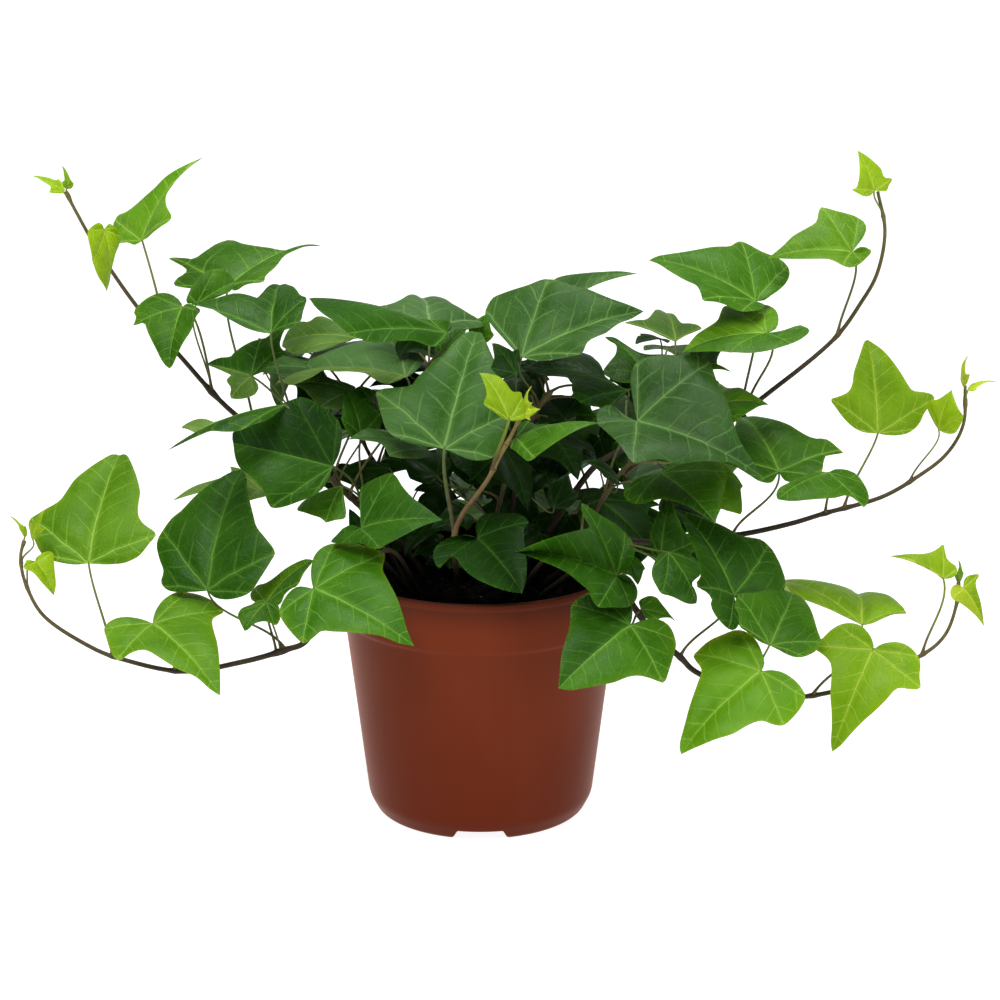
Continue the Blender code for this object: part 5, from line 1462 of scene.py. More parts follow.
@dataclass(frozen=True)
class PotFinish:
    """Moulded reddish brown plastic: even colour, satin sheen, faint scuffs and flow marks, with painted
    shade toward the foot and on the inner wall above the peat.
    """

    name: str = "pot_plastic"

    def build(self) -> bpy.types.Material:
        """Make the material from places on the pot."""
        shade = Shade(self.name)
        where = shade.place()
        x, y, z = shade.split(where)
        cloud = shade.noise(where, 16.0, 3.0, 0.5)
        fine = shade.noise(where, 1600.0, 2.0, 0.5)
        flow = shade.noise(shade.join(x * 55.0, y * 55.0, z * 9.0), 1.0, 3.0, 0.55)
        scuff = shade.noise(shade.join(x * 60.0, y * 60.0, z * 420.0), 1.0, 4.0, 0.7).step(0.66, 0.78)
        color = shade.mix((cloud - 0.3).held() * 0.5, paint(106, 42, 18), paint(96, 36, 14))
        # Painted shade: the wall is painted darker toward the foot, from 75 mm down to 10 mm
        color = shade.mix(z.step(0.075, 0.010) * 0.65, color, paint(90, 29, 8))
        color = shade.mix(flow.step(0.5, 0.8) * 0.22, color, paint(112, 50, 31))
        color = shade.mix(scuff * 0.12, color, paint(134, 80, 60))
        # Painted shade: the inner wall, full from 80 mm up and fading out by 50 mm, is painted near black as
        # the shade under the leaves
        reach = (x * x + y * y).math("SQRT")
        within = (reach - z * 0.132).step(0.0466, 0.0452) * z.step(0.05, 0.08)
        color = shade.mix(within * 0.85, color, paint(34, 18, 13))
        # Painted shade: darker still within the last 12 mm above the floor
        low = z.step(0.012, 0.0)
        color = shade.mix(low * 0.35, color, paint(70, 28, 17))
        shade.give("Base Color", color)
        shade.give("Roughness", cloud * 0.10 + scuff * 0.10 + 0.36)
        shade.give("Sheen Weight", 0.29)
        shade.give("Sheen Roughness", 0.36)
        shade.give("Sheen Tint", (1.0, 0.36, 0.20, 1.0))
        shade.bump(fine * 0.6 + flow * 0.4, 0.22, 0.0002)
        shade.give("Specular IOR Level", 0.06)
        return shade.material


@dataclass(frozen=True)
class PeatFinish:
    """Dark damp peat with brown fibres and a few pale specks, its near black partly painted shade from the
    leaves over it.
    """

    name: str = "peat"

    def build(self) -> bpy.types.Material:
        """Make the material from places in the peat."""
        shade = Shade(self.name)
        where = shade.place()
        lumps = shade.noise(where, 260.0, 4.0, 0.65)
        fine = shade.noise(where, 1500.0, 3.0, 0.6)
        tint = shade.attribute("crumb_color")
        dark = shade.mix(1.0, tint, paint(120, 110, 100), "MULTIPLY")
        shade.give("Base Color", shade.mix(lumps.step(0.35, 0.65), dark, tint))
        shade.give("Roughness", fine * 0.2 + 0.75)
        shade.bump(lumps + fine * 0.5, 0.9, 0.0008)
        shade.give("Specular IOR Level", 0.05)
        return shade.material


@dataclass(frozen=True)
class FloorFinish:
    """A plain pale studio floor, lit from within so that it stays even."""

    name: str = "studio_floor"

    def build(self) -> bpy.types.Material:
        """Make the plain material."""
        shade = Shade(self.name)
        shade.give("Base Color", (0.34, 0.34, 0.34, 1.0))
        shade.give("Emission Color", (1.0, 1.0, 1.0, 1.0))
        shade.give("Emission Strength", 0.92)
        shade.give("Roughness", 0.9)
        shade.give("Specular IOR Level", 0.0)
        return shade.material


# The plant


# The leaves' tones, in the order of the readings, with the light and shade that each leaf catches painted
# into them
LEAF_TONES: dict[str, str] = {
    "shoot_front": "glppb",
    "runner_upper_left": "lylbmmme",
    "runner_lower_left": "ebblllmm",
    "runner_upper_right": "lbmbo",
    "runner_mid_right": "ymmlpp",
    "runner_lower_right": "eybmmyllbm",
    "stem_front_left": "me",
    "stem_front_right": "edee",
    "stem_centre": "dnnn",
    "stem_left": "ddgxmse",
    "stem_top": "eoxx",
    "stem_top_right": "ggde",
    "stem_right": "ummdb",
}
# Those whose two halves catch the light apart: the half along run A, then the one along run B
HALF_TONES: dict[tuple[str, int], str] = {
    ("shoot_front", 4): "em", ("runner_lower_left", 6): "bm", ("runner_upper_right", 3): "mb",
    ("runner_lower_right", 4): "em", ("runner_lower_right", 7): "lp", ("stem_left", 0): "de",
    ("stem_left", 1): "eo", ("stem_left", 2): "se", ("stem_left", 3): "xs", ("stem_right", 1): "bm",
    ("stem_right", 2): "bm", ("stem_right", 3): "me"}
# The hidden leaves' tones, mostly dark ones that paint the shade at the back and deep in the crown
REAR_TONES = "emdeded"
INNER_TONES = "dddnn"
INSIDE_TONES = "nndn"
# Stem colours near the soil and at the end
STEM_TINTS: dict[str, tuple[tuple[int, int, int], tuple[int, int, int]]] = {
    "any": ((52, 42, 28), (112, 104, 58)), "shoot_front": ((124, 100, 68), (170, 150, 90))}
# A leaf stalk's own colours at the stem and, mixed with its leaf's underside, at the blade
STALK_BROWN = (96, 82, 52)
STALK_GREEN = (112, 112, 64)
# Painted shade on a stem in and just above the soil, where the pot's inside lies in shade: its colour, how
# far along the stem it reaches, and over what length it fades
PAINTED_STEM_SHADE = (22, 17, 12)
PAINTED_STEM_SHADE_REACH = 30.0
PAINTED_STEM_SHADE_FADE = 18.0
# Where the two side ribs of each kind point, as angles from the midrib
RIB_ANGLES: dict[Kind, tuple[float, float]] = {
    Kind.BROAD: (1.02, 1.72), Kind.HEART: (1.20, 2.02), Kind.ARROW: (1.24, 2.05),
    Kind.PLAIN: (0.92, 1.68), Kind.YOUNG: (1.06, 1.85), Kind.REAR: (1.20, 2.02),
    Kind.REAR_WIDE: (1.02, 1.72)}


@dataclass
class Side:
    """One half of a leaf's outline, flat, its drift and lean, and where its two side ribs point."""

    flat: Array
    drift: Array
    lean: float
    tone: Tone
    lateral: float
    basal: float


@dataclass
class Leaf:
    """A placed leaf: its blade, its stalk and what makes it its own."""

    blade: Blade
    start: Array
    sag: float
    tones: Sequence[Tone]
    number: int
    margins: "tuple[list[float], list[float]] | None" = None
    leans: tuple[float, float] = (0.0, 0.0)

    @staticmethod
    def even_curve(points: "Array | Sequence[tuple[float, float]]", count: int) -> Array:
        """A smooth curve through a run of outline points, cut evenly."""
        fine = smooth_path(np.array(points), 12)
        steps = np.linalg.norm(np.diff(fine[:, :2], axis=0), axis=1)
        length = np.concatenate([[0.0], np.cumsum(steps)])
        even = np.linspace(0.0, length[-1], count)
        return np.stack([np.interp(even, length, column) for column in fine.T], 1)

    @property
    def fineness(self) -> float:
        """How many more steps the leaf's mesh takes than a usual one's."""
        return max(0.9, self.blade.size / USUAL_LENGTH)

    def sides(self, rng: np.random.Generator) -> list[Side]:
        """The left and the right half of the outline.

        A leaf whose margins were read from the photo takes them from there. Each is carried to the
        flat blade, kept on its own side of the midrib, and what the blade's bend leaves between it
        and the reading becomes its drift. The other leaves take their kind's outline, a little
        wider or narrower and waved by their own draws.

        Args:
            rng: this leaf's own draws.

        Returns:
            The two halves, left first.
        """
        blade, made = self.blade, []
        low, high = int(LOW_STEPS * self.fineness), int(HIGH_STEPS * self.fineness)
        if self.margins:
            foot, tip = blade.ends()
            read = [np.vstack([foot, np.reshape(run, (-1, 2)), tip]) for run in self.margins]
            flats = [blade.flat_places(seen) for seen in read]
            order = np.argsort([flat[:, 0].mean() for flat in flats])
            for sign, index in zip((-1.0, 1.0), order):
                flat, seen = flats[index], read[index]
                flat[:, 0] = sign * np.maximum(sign * flat[:, 0], 0.0)
                flat[[0, -1]] = [(0.0, 0.0), (0.0, 1.0)]
                miss = seen - EYE.view_place(blade.surface(flat))
                length = np.linalg.norm(miss, axis=1, keepdims=True)
                miss = miss * np.minimum(1.0, 0.3 * blade.size / np.maximum(length, 1e-6))
                curve = self.even_curve(np.hstack([flat, miss]), low + high - 1)
                made.append(Side(curve[:, :2], curve[:, 2:] @ np.array([EYE.right, EYE.up]),
                                 self.leans[index], self.tones[index], *self.rib_angles(curve)))
            return made
        for sign in (-1.0, 1.0):
            first, second = FINE_SHAPES[blade.kind]
            edge = np.vstack([self.even_curve(first, low), self.even_curve(second, high)[1:]])
            share = np.linspace(0, 1, len(edge))
            swell = 1 + 0.05 * rng.normal() * np.sin(math.pi * share)
            wave = 0.006 * np.sin(2 * math.pi * (share * rng.uniform(2.2, 3.6) + rng.random()))
            wave = wave * np.sin(math.pi * share)
            flat = np.stack([sign * (edge[:, 0] * swell + wave), edge[:, 1] + wave], 1)
            made.append(Side(flat, np.zeros((len(flat), 3)), 0.0, self.tones[0],
                             *RIB_ANGLES[blade.kind]))
        return made

    def view_outline(self) -> Array:
        """The leaf's outline as it is seen, closed."""
        if not self.margins:
            return EYE.view_place(self.blade.rim())
        foot, tip = self.blade.ends()
        first, second = (np.reshape(run, (-1, 2)) for run in self.margins)
        return np.vstack([foot, first, tip, second[::-1]])

    @staticmethod
    def rib_angles(flat: Array) -> tuple[float, float]:
        """Where a read half's two side ribs point: to its side lobe and to its lowest shoulder."""
        s, t = np.abs(flat[:, 0]), flat[:, 1]
        body = max(3, int(0.75 * len(flat)))
        lobe = int(np.argmax((s + 0.35 * t - 2.0 * np.maximum(t - 0.6, 0))[:body]))
        low = int(np.argmax((s - 1.2 * t)[:max(2, lobe)]))
        lateral = float(np.clip(math.atan2(s[lobe], t[lobe]), 0.5, 1.4))
        return lateral, float(np.clip(math.atan2(s[low], t[low]), lateral + 0.5, 2.3))

    def flat_grid(self, halves: list[Side]) -> tuple[Array, Array, Array]:
        """The flat blade as a grid from foot to tip and from left margin to right margin.

        Each row runs from a point of the midrib to a point of the margin. The midrib point lies
        behind the margin point by 0.45 of its distance across, so rows follow the side ribs.

        Args:
            halves: the outline's left and right halves.

        Returns:
            The grid of (s, t), how far across each column is, from -1 to 1, and the grid's drift,
            which grows with the square of that.
        """
        columns = int(COLUMN_STEPS * self.fineness)
        v = np.linspace(0, 1, columns + 1)[1:, None]
        anchors, parts, drifts = [], [], []
        for half in halves:
            edge = half.flat
            anchor = np.maximum.accumulate(np.clip(edge[:, 1] - 0.45 * np.abs(edge[:, 0]), 0, 1))
            middle = np.stack([np.zeros(len(edge)), anchor], 1)
            anchors.append(middle)
            parts.append(middle[:, None] + v[None] * (edge - middle)[:, None])
            swell = np.sin(math.pi * np.linspace(0, 1, len(edge)))[:, None, None] ** 0.25
            drifts.append(v[None] ** 2 * half.drift[:, None] + v[None] * swell * half.lean * EYE.back)
        mean = (anchors[0] + anchors[1]) / 2
        grid = np.concatenate([parts[0][:, ::-1], mean[:, None], parts[1]], 1)
        drift = np.concatenate([drifts[0][:, ::-1], 0 * drifts[0][:, :1], drifts[1]], 1)
        return grid, np.concatenate([-v[::-1, 0], [0.0], v[:, 0]]), drift

    def blade_mesh(self, gathering: Gathering) -> None:
        """Add the two faced blade.

        Over the bent mid surface the blade sinks along its five main ribs and cushions between them,
        and its margin waves. Its two faces part by a third of a millimetre and meet at the margin.
        """
        blade, rng = self.blade, np.random.default_rng(self.number)
        halves = self.sides(rng)
        grid, v, drift = self.flat_grid(halves)
        rows, columns = grid.shape[:2]
        s, t = grid[..., 0], grid[..., 1]
        right_side = (v > 0)[None]
        nearest = np.abs(s)
        for left, right in ((halves[0].lateral, halves[1].lateral), (halves[0].basal, halves[1].basal)):
            angle = np.where(right_side, right, left)
            along = np.abs(s) * np.sin(angle) + t * np.cos(angle)
            off = np.abs(np.abs(s) * np.cos(angle) - t * np.sin(angle))
            nearest = np.minimum(nearest, np.where(along > 0, off, np.hypot(s, t)))
        cushion = CUSHION * (1 - np.exp(-(nearest / CUSHION_WIDTH) ** 2))
        cushion = cushion * (1 - np.abs(v)[None] ** 6 * 0.6)
        share = np.linspace(0, 1, rows)[:, None]
        swing = READ_WAVE if self.margins else DRAWN_WAVE
        ripple = (swing * np.abs(v)[None] ** 2.5 * np.sin(math.pi * share)
                  * np.sin(2 * math.pi * (share * rng.uniform(1.6, 3.0) + rng.random()
                                          + 0.3 * np.sign(v)[None])))
        droop = np.clip(t - DROOP_START, 0, 1) ** 2 / (1 - DROOP_START) ** 2
        sag = -DROOP * droop * rng.uniform(0.0, 1.0)
        middle = blade.surface(grid.reshape(-1, 2)).reshape(rows, columns, 3) + drift
        middle = middle + ((cushion + ripple + sag) * blade.size)[..., None] * blade.upper
        normal = np.cross(np.gradient(middle, axis=1), np.gradient(middle, axis=0))
        normal = units(units(normal) + 0.6 * blade.upper)
        thin = HALF_THICKNESS * (1 - v[None] ** 4) * np.minimum(1, np.minimum(share, 1 - share) * 30)
        top = (middle + thin[..., None] * normal).reshape(-1, 3)
        low = (middle - thin[..., None] * normal).reshape(-1, 3)
        faces = grid_faces(rows, columns)
        count = len(top)
        place = np.stack([s.ravel(), t.ravel(), np.full(count, self.number * 1.37)], 1)
        on_right = np.tile(np.arange(columns - 1) >= (columns - 1) // 2, 2 * (rows - 1))
        form = np.stack([np.where(on_right, halves[1].lateral, halves[0].lateral),
                         np.where(on_right, halves[1].basal, halves[0].basal),
                         np.ones(len(faces))], 1)
        form = np.vstack([form, form * [1.0, 1.0, 0.0]])
        shift, detail = rng.uniform(0.93, 1.07), min(1.0, (blade.size / DETAIL_LENGTH) ** 2)
        shown = [TONE_COLORS[half.tone] for half in halves]
        choose = np.tile(on_right.astype(int), 2)
        gathering.add(
            np.vstack([top, low]), np.vstack([faces, faces[:, ::-1] + count]),
            {"leaf_place": np.vstack([place, place])},
            {"leaf_form": form,
             "blade_color": np.array([(*paint(*(c * shift for c in colors.blade))[:3], detail)
                                      for colors in shown])[choose],
             "rib_color": np.array([paint(*colors.ribs) for colors in shown])[choose],
             "under_color": np.array([paint(*colors.under) for colors in shown])[choose]})

    def stalk_mesh(self, gathering: Gathering, stem: Array, stout: float) -> None:
        """Add the leaf stalk: flared where it leaves the stem, tapering, and green toward the blade."""
        near = stem[int(np.argmin(np.linalg.norm(stem - self.start, axis=1)))]
        path = petiole_path(self.start * 0.35 + near * 0.65, self.blade, self.sag, 16)
        share = np.linspace(0, 1, len(path))
        thick = PETIOLE_RADIUS * (stout if self.blade.size > 20 else 0.6)
        radii = thick * (1.0 - 0.28 * share) + 0.55 * np.exp(-(share / 0.05) ** 2)
        radii[-1] = 0.15
        points, faces = tube(path, radii, 8)
        under = TONE_COLORS[self.tones[0]].under
        green = 0.5 * np.array(paint(*under)) + 0.5 * np.array(paint(*STALK_GREEN))
        brown = np.array(paint(*STALK_BROWN))
        along = np.repeat(np.concatenate([[0], share, [1]]), 8)[:, None]
        mixed = np.clip((along - 0.05) / 0.55, 0, 1)
        gathering.add(points, faces, {"stalk_color": brown * (1 - mixed) + green * mixed}, {})


@dataclass
class LeafyStem:
    """One stem with its leaves, which stands for one node of the frame."""

    name: str
    hole: Place
    radii: tuple[float, float]
    places: Sequence[tuple[float, float, float]]
    leaves: list[Leaf] = field(default_factory=list)

    @property
    def path(self) -> Array:
        """The stem's line as the part has it, straight between its places."""
        return stem_path(self.hole, self.places)

    def nearest(self, place: Place) -> Array:
        """The point of the stem that is seen nearest to a place in the view."""
        fine = even_points(self.path)
        gaps = np.linalg.norm(EYE.view_place(fine) - np.array(place, float), axis=1)
        return fine[int(np.argmin(gaps))]

    def build(self, leaf_finish: bpy.types.Material, stalk_finish: bpy.types.Material) -> None:
        """Make the blades as one piece and the stem with its stalks as another."""
        blades, stalks = Gathering(), Gathering()
        fine = stem_path(self.hole, self.places, 8)
        for leaf in self.leaves:
            leaf.blade_mesh(blades)
            leaf.stalk_mesh(stalks, fine, SHOOT_STALKS if self.name == "shoot_front" else OTHER_STALKS)
        self.stem_mesh(stalks, fine)
        blades.build(self.name + "_blades", leaf_finish, "ivy", 75.0, [self.name])
        stalks.build(self.name + "_stalks", stalk_finish, "ivy", 75.0, [self.name])

    def stem_mesh(self, gathering: Gathering, fine: Array) -> None:
        """Add the stem: tapered, slightly swollen where leaf stalks leave, browner toward the soil, and
        painted near black with shade in and just above the soil.
        """
        length = np.concatenate([[0.0], np.cumsum(np.linalg.norm(np.diff(fine, axis=0), axis=1))])
        share = length / length[-1]
        slim = OPEN_STEMS if self.name.startswith(("runner", "shoot")) else HIDDEN_STEMS
        radii = slim * (self.radii[0] + (self.radii[1] - self.radii[0]) * share)
        for leaf in self.leaves:
            near = int(np.argmin(np.linalg.norm(fine - leaf.start, axis=1)))
            radii = radii + 0.28 * np.exp(-((length - length[near]) / 1.6) ** 2)
        points, faces = tube(fine, radii, 12)
        old, young = (np.array(paint(*tint)) for tint in STEM_TINTS.get(self.name, STEM_TINTS["any"]))
        along = np.repeat(np.concatenate([[0], share, [1]]), 12)[:, None]
        mixed = np.clip((along - 0.55) / 0.45, 0, 1) ** 1.5
        # Painted shade: the stem is painted near black up to a little above the soil, fading over a short
        # length
        stem_shade_share = np.clip((STEM_SINK + PAINTED_STEM_SHADE_REACH - along * length[-1]) / PAINTED_STEM_SHADE_FADE, 0, 1)
        color = (old * (1 - mixed) + young * mixed) * (1 - stem_shade_share) + np.array(paint(*PAINTED_STEM_SHADE)) * stem_shade_share
        gathering.add(points, faces, {"stalk_color": color}, {})


@dataclass
class Draw:
    """One way to hang a hidden leaf, with its stalk, its rim and what it covers of the crown."""

    name: str
    start: Array
    blade: Blade
    stalk: Array = field(init=False)
    rim: Array = field(init=False)
    shown: Array = field(default_factory=lambda: np.zeros(0, bool))
    gain: int = 0

    def __post_init__(self) -> None:
        """Work out the stalk and the rim."""
        self.stalk, self.rim = petiole_path(self.start, self.blade, 1.0), self.blade.rim()


@dataclass
class Crown:
    """Places of the view at even steps within the crown, out of its openings, and which are covered."""

    step: float
    openings: Array
    cells: Array = field(init=False)
    filled: Array = field(init=False)

    def __post_init__(self) -> None:
        """Lay out the places, none of them covered yet."""
        across, up = np.meshgrid(np.arange(*CROWN_ACROSS, self.step), np.arange(*CROWN_UP, self.step))
        cells = np.stack([across.ravel(), up.ravel()], 1)
        clear = np.linalg.norm(cells[:, None] - self.openings[None, :, :2], axis=2) > self.openings[:, 2]
        self.cells = cells[inside(CROWN, cells) & clear.all(1)]
        self.filled = np.zeros(len(self.cells), bool)

    def cover(self, outline: Array) -> Array:
        """Mark the places within an outline of the view as covered, and tell which they are."""
        shown = inside(outline, self.cells)
        self.filled |= shown
        return shown

    def holds(self, draw: Draw) -> bool:
        """Whether a leaf shows only within the crown's outline and leaves its openings free."""
        points = np.vstack([draw.rim, draw.stalk])
        seen = EYE.view_place(points)
        behind = inside(POT_SHADE, seen) & (points[:, 1].min() > POT_RIM_RADIUS)
        if not (inside(CROWN, seen) | behind).all():
            return False
        rim, stalk = seen[:len(draw.rim)], seen[len(draw.rim):]
        edge = np.vstack([rim, (rim + np.roll(rim, 1, 0)) / 2, stalk])
        gaps = np.linalg.norm(edge[:, None] - self.openings[None, :, :2], axis=2)
        return not ((gaps < self.openings[:, 2]).any() or inside(rim, self.openings[:, :2]).any())

    def suits(self, draw: Draw, front: float, limit: Array) -> bool:
        """Note what a draw covers, and tell whether it stays in the crown and far enough back.

        Args:
            draw: the leaf.
            front: the y that no point of it may pass.
            limit: the y at each place that the leaf's middle has to stay behind.

        Returns:
            Whether it may be hung.
        """
        if not self.holds(draw):
            return False
        draw.shown = inside(EYE.view_place(draw.rim), self.cells)
        draw.gain = int((draw.shown & ~self.filled).sum())
        return bool(draw.rim[:, 1].min() > front and self.behind(draw, limit))

    @staticmethod
    def behind(draw: Draw, limit: Array) -> bool:
        """Whether a leaf's middle stays behind the limit at every place that it covers."""
        return bool((draw.rim[:, 1].mean() > limit[draw.shown]).all())


@dataclass
class Plant:
    """The whole ivy: stems, leaves from the readings, and hidden leaves by seeded rules."""

    stems: dict[str, LeafyStem] = field(default_factory=dict)
    room: Room = field(default_factory=Room)

    def grow(self) -> None:
        """Place every stem, leaf and stalk, in the same order and by the same rules as the part."""
        self.room.items.append(self.room.pot())
        for name, (hole, thick, thin, places) in {**STEMS, **REAR_STEMS}.items():
            stem = LeafyStem(name, hole, (thick, thin), places)
            self.stems[name] = stem
            self.room.items.append(self.room.tube(name, "stem", stem.path[1:], thick + 0.5))
        number = 0
        for name, leaves in LEAVES.items():
            stem = self.stems[name]
            for index, (kind, start_place, foot, tip, one, two, depth) in enumerate(leaves):
                number += 1
                start, key = stem.nearest(start_place), (name, index)
                blade, sag = self.room.settle(
                    name, start,
                    lambda shift: read_blade(Kind(kind), foot, tip, one, two, depth + shift))
                tones = [Tone(letter) for letter in HALF_TONES.get(key, 2 * LEAF_TONES[name][index])]
                stem.leaves.append(Leaf(blade, start, sag, tones, number, MARGINS.get(key),
                                        LEANS.get(key, (0.0, 0.0))))
        self.fill_rear()
        self.fill_inside()

    def guards(self, draw: Draw, gap: float) -> tuple[Item, Item]:
        """What keeps room for a drawn leaf and for its stalk, with a gap about the stalk."""
        return (self.room.slab(draw.name, draw.blade),
                self.room.tube(draw.name, "stalk", draw.stalk[:-1], PETIOLE_RADIUS + gap))

    def keep(self, draw: Draw, guards: tuple[Item, Item], letter: str, number: int) -> None:
        """Give a stem the leaf, and keep its room."""
        self.room.items += guards
        self.stems[draw.name].leaves.append(Leaf(draw.blade, draw.start, 1.0, [Tone(letter)], number))

    def hang(self, draws: list[Draw], crown: Crown, gap: float, letter: str, number: int) -> None:
        """Hang the leaf that covers most of the open places among the draws that have room."""
        for draw in sorted(draws, key=lambda draw: -draw.gain):
            guards = self.guards(draw, gap)
            if not any(map(self.room.clashes, guards)):
                self.keep(draw, guards, letter, number)
                crown.filled |= draw.shown
                return

    def fill_rear(self) -> None:
        """Give the rear stems their leaves, each the one of many draws that fills most of the crown.

        A leaf stays clear of what stands there and behind every leaf that was read from the photo.
        """
        rng, crown = np.random.default_rng(REAR_SEED), Crown(REAR_CELL, OPENINGS)
        limit = np.full(len(crown.cells), np.inf)
        for stem in self.stems.values():
            for leaf in stem.leaves:
                rim = leaf.blade.rim()
                shown = crown.cover(EYE.view_place(rim))
                limit[shown] = np.minimum(limit[shown], rim[:, 1].mean())
        limit[np.isinf(limit)] = INNER_FRONT
        for count in range(REAR_LEAVES + INNER_LEAVES):
            inner = count >= REAR_LEAVES
            tones = INNER_TONES if inner else REAR_TONES
            for name in REAR_STEMS:
                stem = self.stems[name]
                draws = [Draw(name, *self.rear_pose(rng, stem.path, inner)) for _ in range(REAR_DRAWS)]
                number = REAR_NUMBERS + 3 * count + len(stem.leaves)
                self.hang([draw for draw in draws if crown.suits(draw, INNER_FRONT, limit)], crown,
                          REAR_GAP, tones[number % len(tones)], number)

    def fill_inside(self) -> None:
        """Close what is left open within the crown with small leaves, painted dark as shade, on the nearest
        stems.

        Each is the one of many draws that covers most of the open places of the view. It is drawn
        about one of them, stays clear of what stands there and behind every leaf read from the photo.
        """
        rng, crown = np.random.default_rng(INSIDE_SEED), Crown(INSIDE_CELL, INSIDE_OPENINGS)
        limit = np.full(len(crown.cells), -np.inf)
        for stem in self.stems.values():
            for leaf in stem.leaves:
                shown = crown.cover(leaf.view_outline())
                if leaf.number < REAR_NUMBERS:
                    limit[shown] = np.maximum(limit[shown], leaf.blade.rim()[:, 1].mean())
        self.add_glimpsed(crown, limit)
        names = [name for name in self.stems if not name.startswith("runner")]
        lines = [even_points(self.stems[name].path)[2:] for name in names]
        for count in range(INSIDE_LEAVES):
            open_cells = crown.cells[~crown.filled]
            if not len(open_cells):
                break
            draws = []
            for _ in range(INSIDE_DRAWS):
                blade = self.inside_pose(rng, open_cells[rng.integers(len(open_cells))])
                gaps = [np.linalg.norm(line + [0, 0, 8] - blade.foot, axis=1) for line in lines]
                which = int(np.argmin([gap.min() for gap in gaps]))
                draw = Draw(names[which], lines[which][int(np.argmin(gaps[which]))], blade)
                if crown.suits(draw, INSIDE_FRONT, limit) and draw.gain:
                    draws.append(draw)
            self.hang(draws, crown, INSIDE_GAP, INSIDE_TONES[count % len(INSIDE_TONES)],
                      INSIDE_NUMBERS + count)
        LOG.info("crown places still open: %d of %d", int((~crown.filled).sum()), len(crown.cells))

    def add_glimpsed(self, crown: Crown, limit: Array) -> None:
        """Hang the glimpsed leaves, each at the depth behind the limit where it crosses least."""
        for number, (name, kind, start_place, foot, tip, one, two, letter) in enumerate(GLIMPSED):
            start, best = self.stems[name].nearest(start_place), None
            for depth in GLIMPSED_DEPTHS:
                draw = Draw(name, start, read_blade(Kind(kind), foot, tip, one, two, depth))
                draw.shown = inside(EYE.view_place(draw.rim), crown.cells)
                if not crown.behind(draw, limit):
                    continue
                slab, stalk = self.guards(draw, INSIDE_GAP)
                cost = 3 * self.room.clashes(slab) + self.room.clashes(stalk)
                if best is None or cost < best[0]:
                    best = (cost, draw, (slab, stalk))
            if best and best[0] < WORST_CROSSING:
                self.keep(best[1], best[2], letter, GLIMPSED_NUMBERS + number)
                crown.filled |= best[1].shown

    @staticmethod
    def inside_pose(rng: np.random.Generator, cell: Array) -> Blade:
        """A small leaf deep in the crown, seen about a place of the view and turned up and forward."""
        middle = EYE.seen_point(cell[0], cell[1], rng.uniform(INSIDE_FRONT, INSIDE_BACK))
        upper = unit(EYE.back * rng.uniform(0.3, 1.0) + [0, 0, rng.uniform(0.1, 1.0)]
                     + rng.normal(0, 0.3, 3))
        forward = rng.normal(0, 0.8, 3) - [0, 0, 0.5]
        forward = unit(forward - (forward @ upper) * upper)
        kind = [Kind.REAR, Kind.REAR_WIDE][rng.integers(2)]
        size = rng.uniform(13, 36)
        return Blade(kind, middle - forward * size * 0.35, size, np.cross(forward, upper), forward)

    @staticmethod
    def rear_pose(rng: np.random.Generator, path: Array, inner: bool) -> tuple[Array, Blade]:
        """A leaf for the rear: foot out from the stem, blade turned outward and up, tip hanging.

        Args:
            rng: the seeded draws.
            path: the stem's line.
            inner: whether it stands on the stem's other side, over the soil, and faces the front.

        Returns:
            Where its stalk leaves the stem, and its blade.
        """
        turn = math.radians(rng.uniform(185, 355) if inner else rng.uniform(10, 170))
        out = np.array([math.cos(turn), math.sin(turn), 0.0])
        choices = even_points(path)[3 if inner else 6:]
        index = rng.integers(len(choices) - 1)
        start = choices[index] + (choices[index + 1] - choices[index]) * rng.uniform(0.1, 0.9)
        reach = rng.uniform(6, 34) if inner else rng.uniform(12, 52)
        foot = start + out * reach + np.array([0, 0, rng.uniform(-24, 34)])
        upper = unit(out * rng.uniform(0.25, 1.2) + np.array([rng.normal(0, 0.25), 0, 0.8]))
        forward = out - np.array([0, 0, rng.uniform(0.0, 1.2)]) + rng.normal(0, 0.35, 3)
        forward = unit(forward - (forward @ upper) * upper)
        kind = [Kind.REAR, Kind.REAR_WIDE][rng.integers(2)]
        size = rng.uniform(24, 50)
        return start, Blade(kind, foot, size, np.cross(forward, upper), forward)

    def build(self) -> None:
        """Grow the plant and make its pieces."""
        self.grow()
        leaf_finish, stalk_finish = LeafFinish().build(), StalkFinish().build()
        for stem in self.stems.values():
            stem.build(leaf_finish, stalk_finish)


# The pot, the peat and the studio


def rounded(points: Sequence[tuple[float, float]], radii: Sequence[float], steps: int = 6) -> Array:
    """A profile with each corner replaced by a small curve.

    Args:
        points: the profile's corners.
        radii: how far from each corner its curve starts, 0 to leave it sharp.
        steps: points a curve.

    Returns:
        The rounded profile.
    """
    corners = np.array(points, float)
    made = [corners[:1]]
    t = np.linspace(0, 1, steps)[:, None]
    for before, corner, after, radius in zip(corners, corners[1:], corners[2:], radii[1:]):
        if radius <= 0:
            made.append(corner[None])
            continue
        start = corner + unit(before - corner) * min(radius, np.linalg.norm(before - corner) * 0.49)
        end = corner + unit(after - corner) * min(radius, np.linalg.norm(after - corner) * 0.49)
        made.append((1 - t) ** 2 * start + 2 * t * (1 - t) * corner + t * t * end)
    return np.vstack(made + [corners[-1:]])


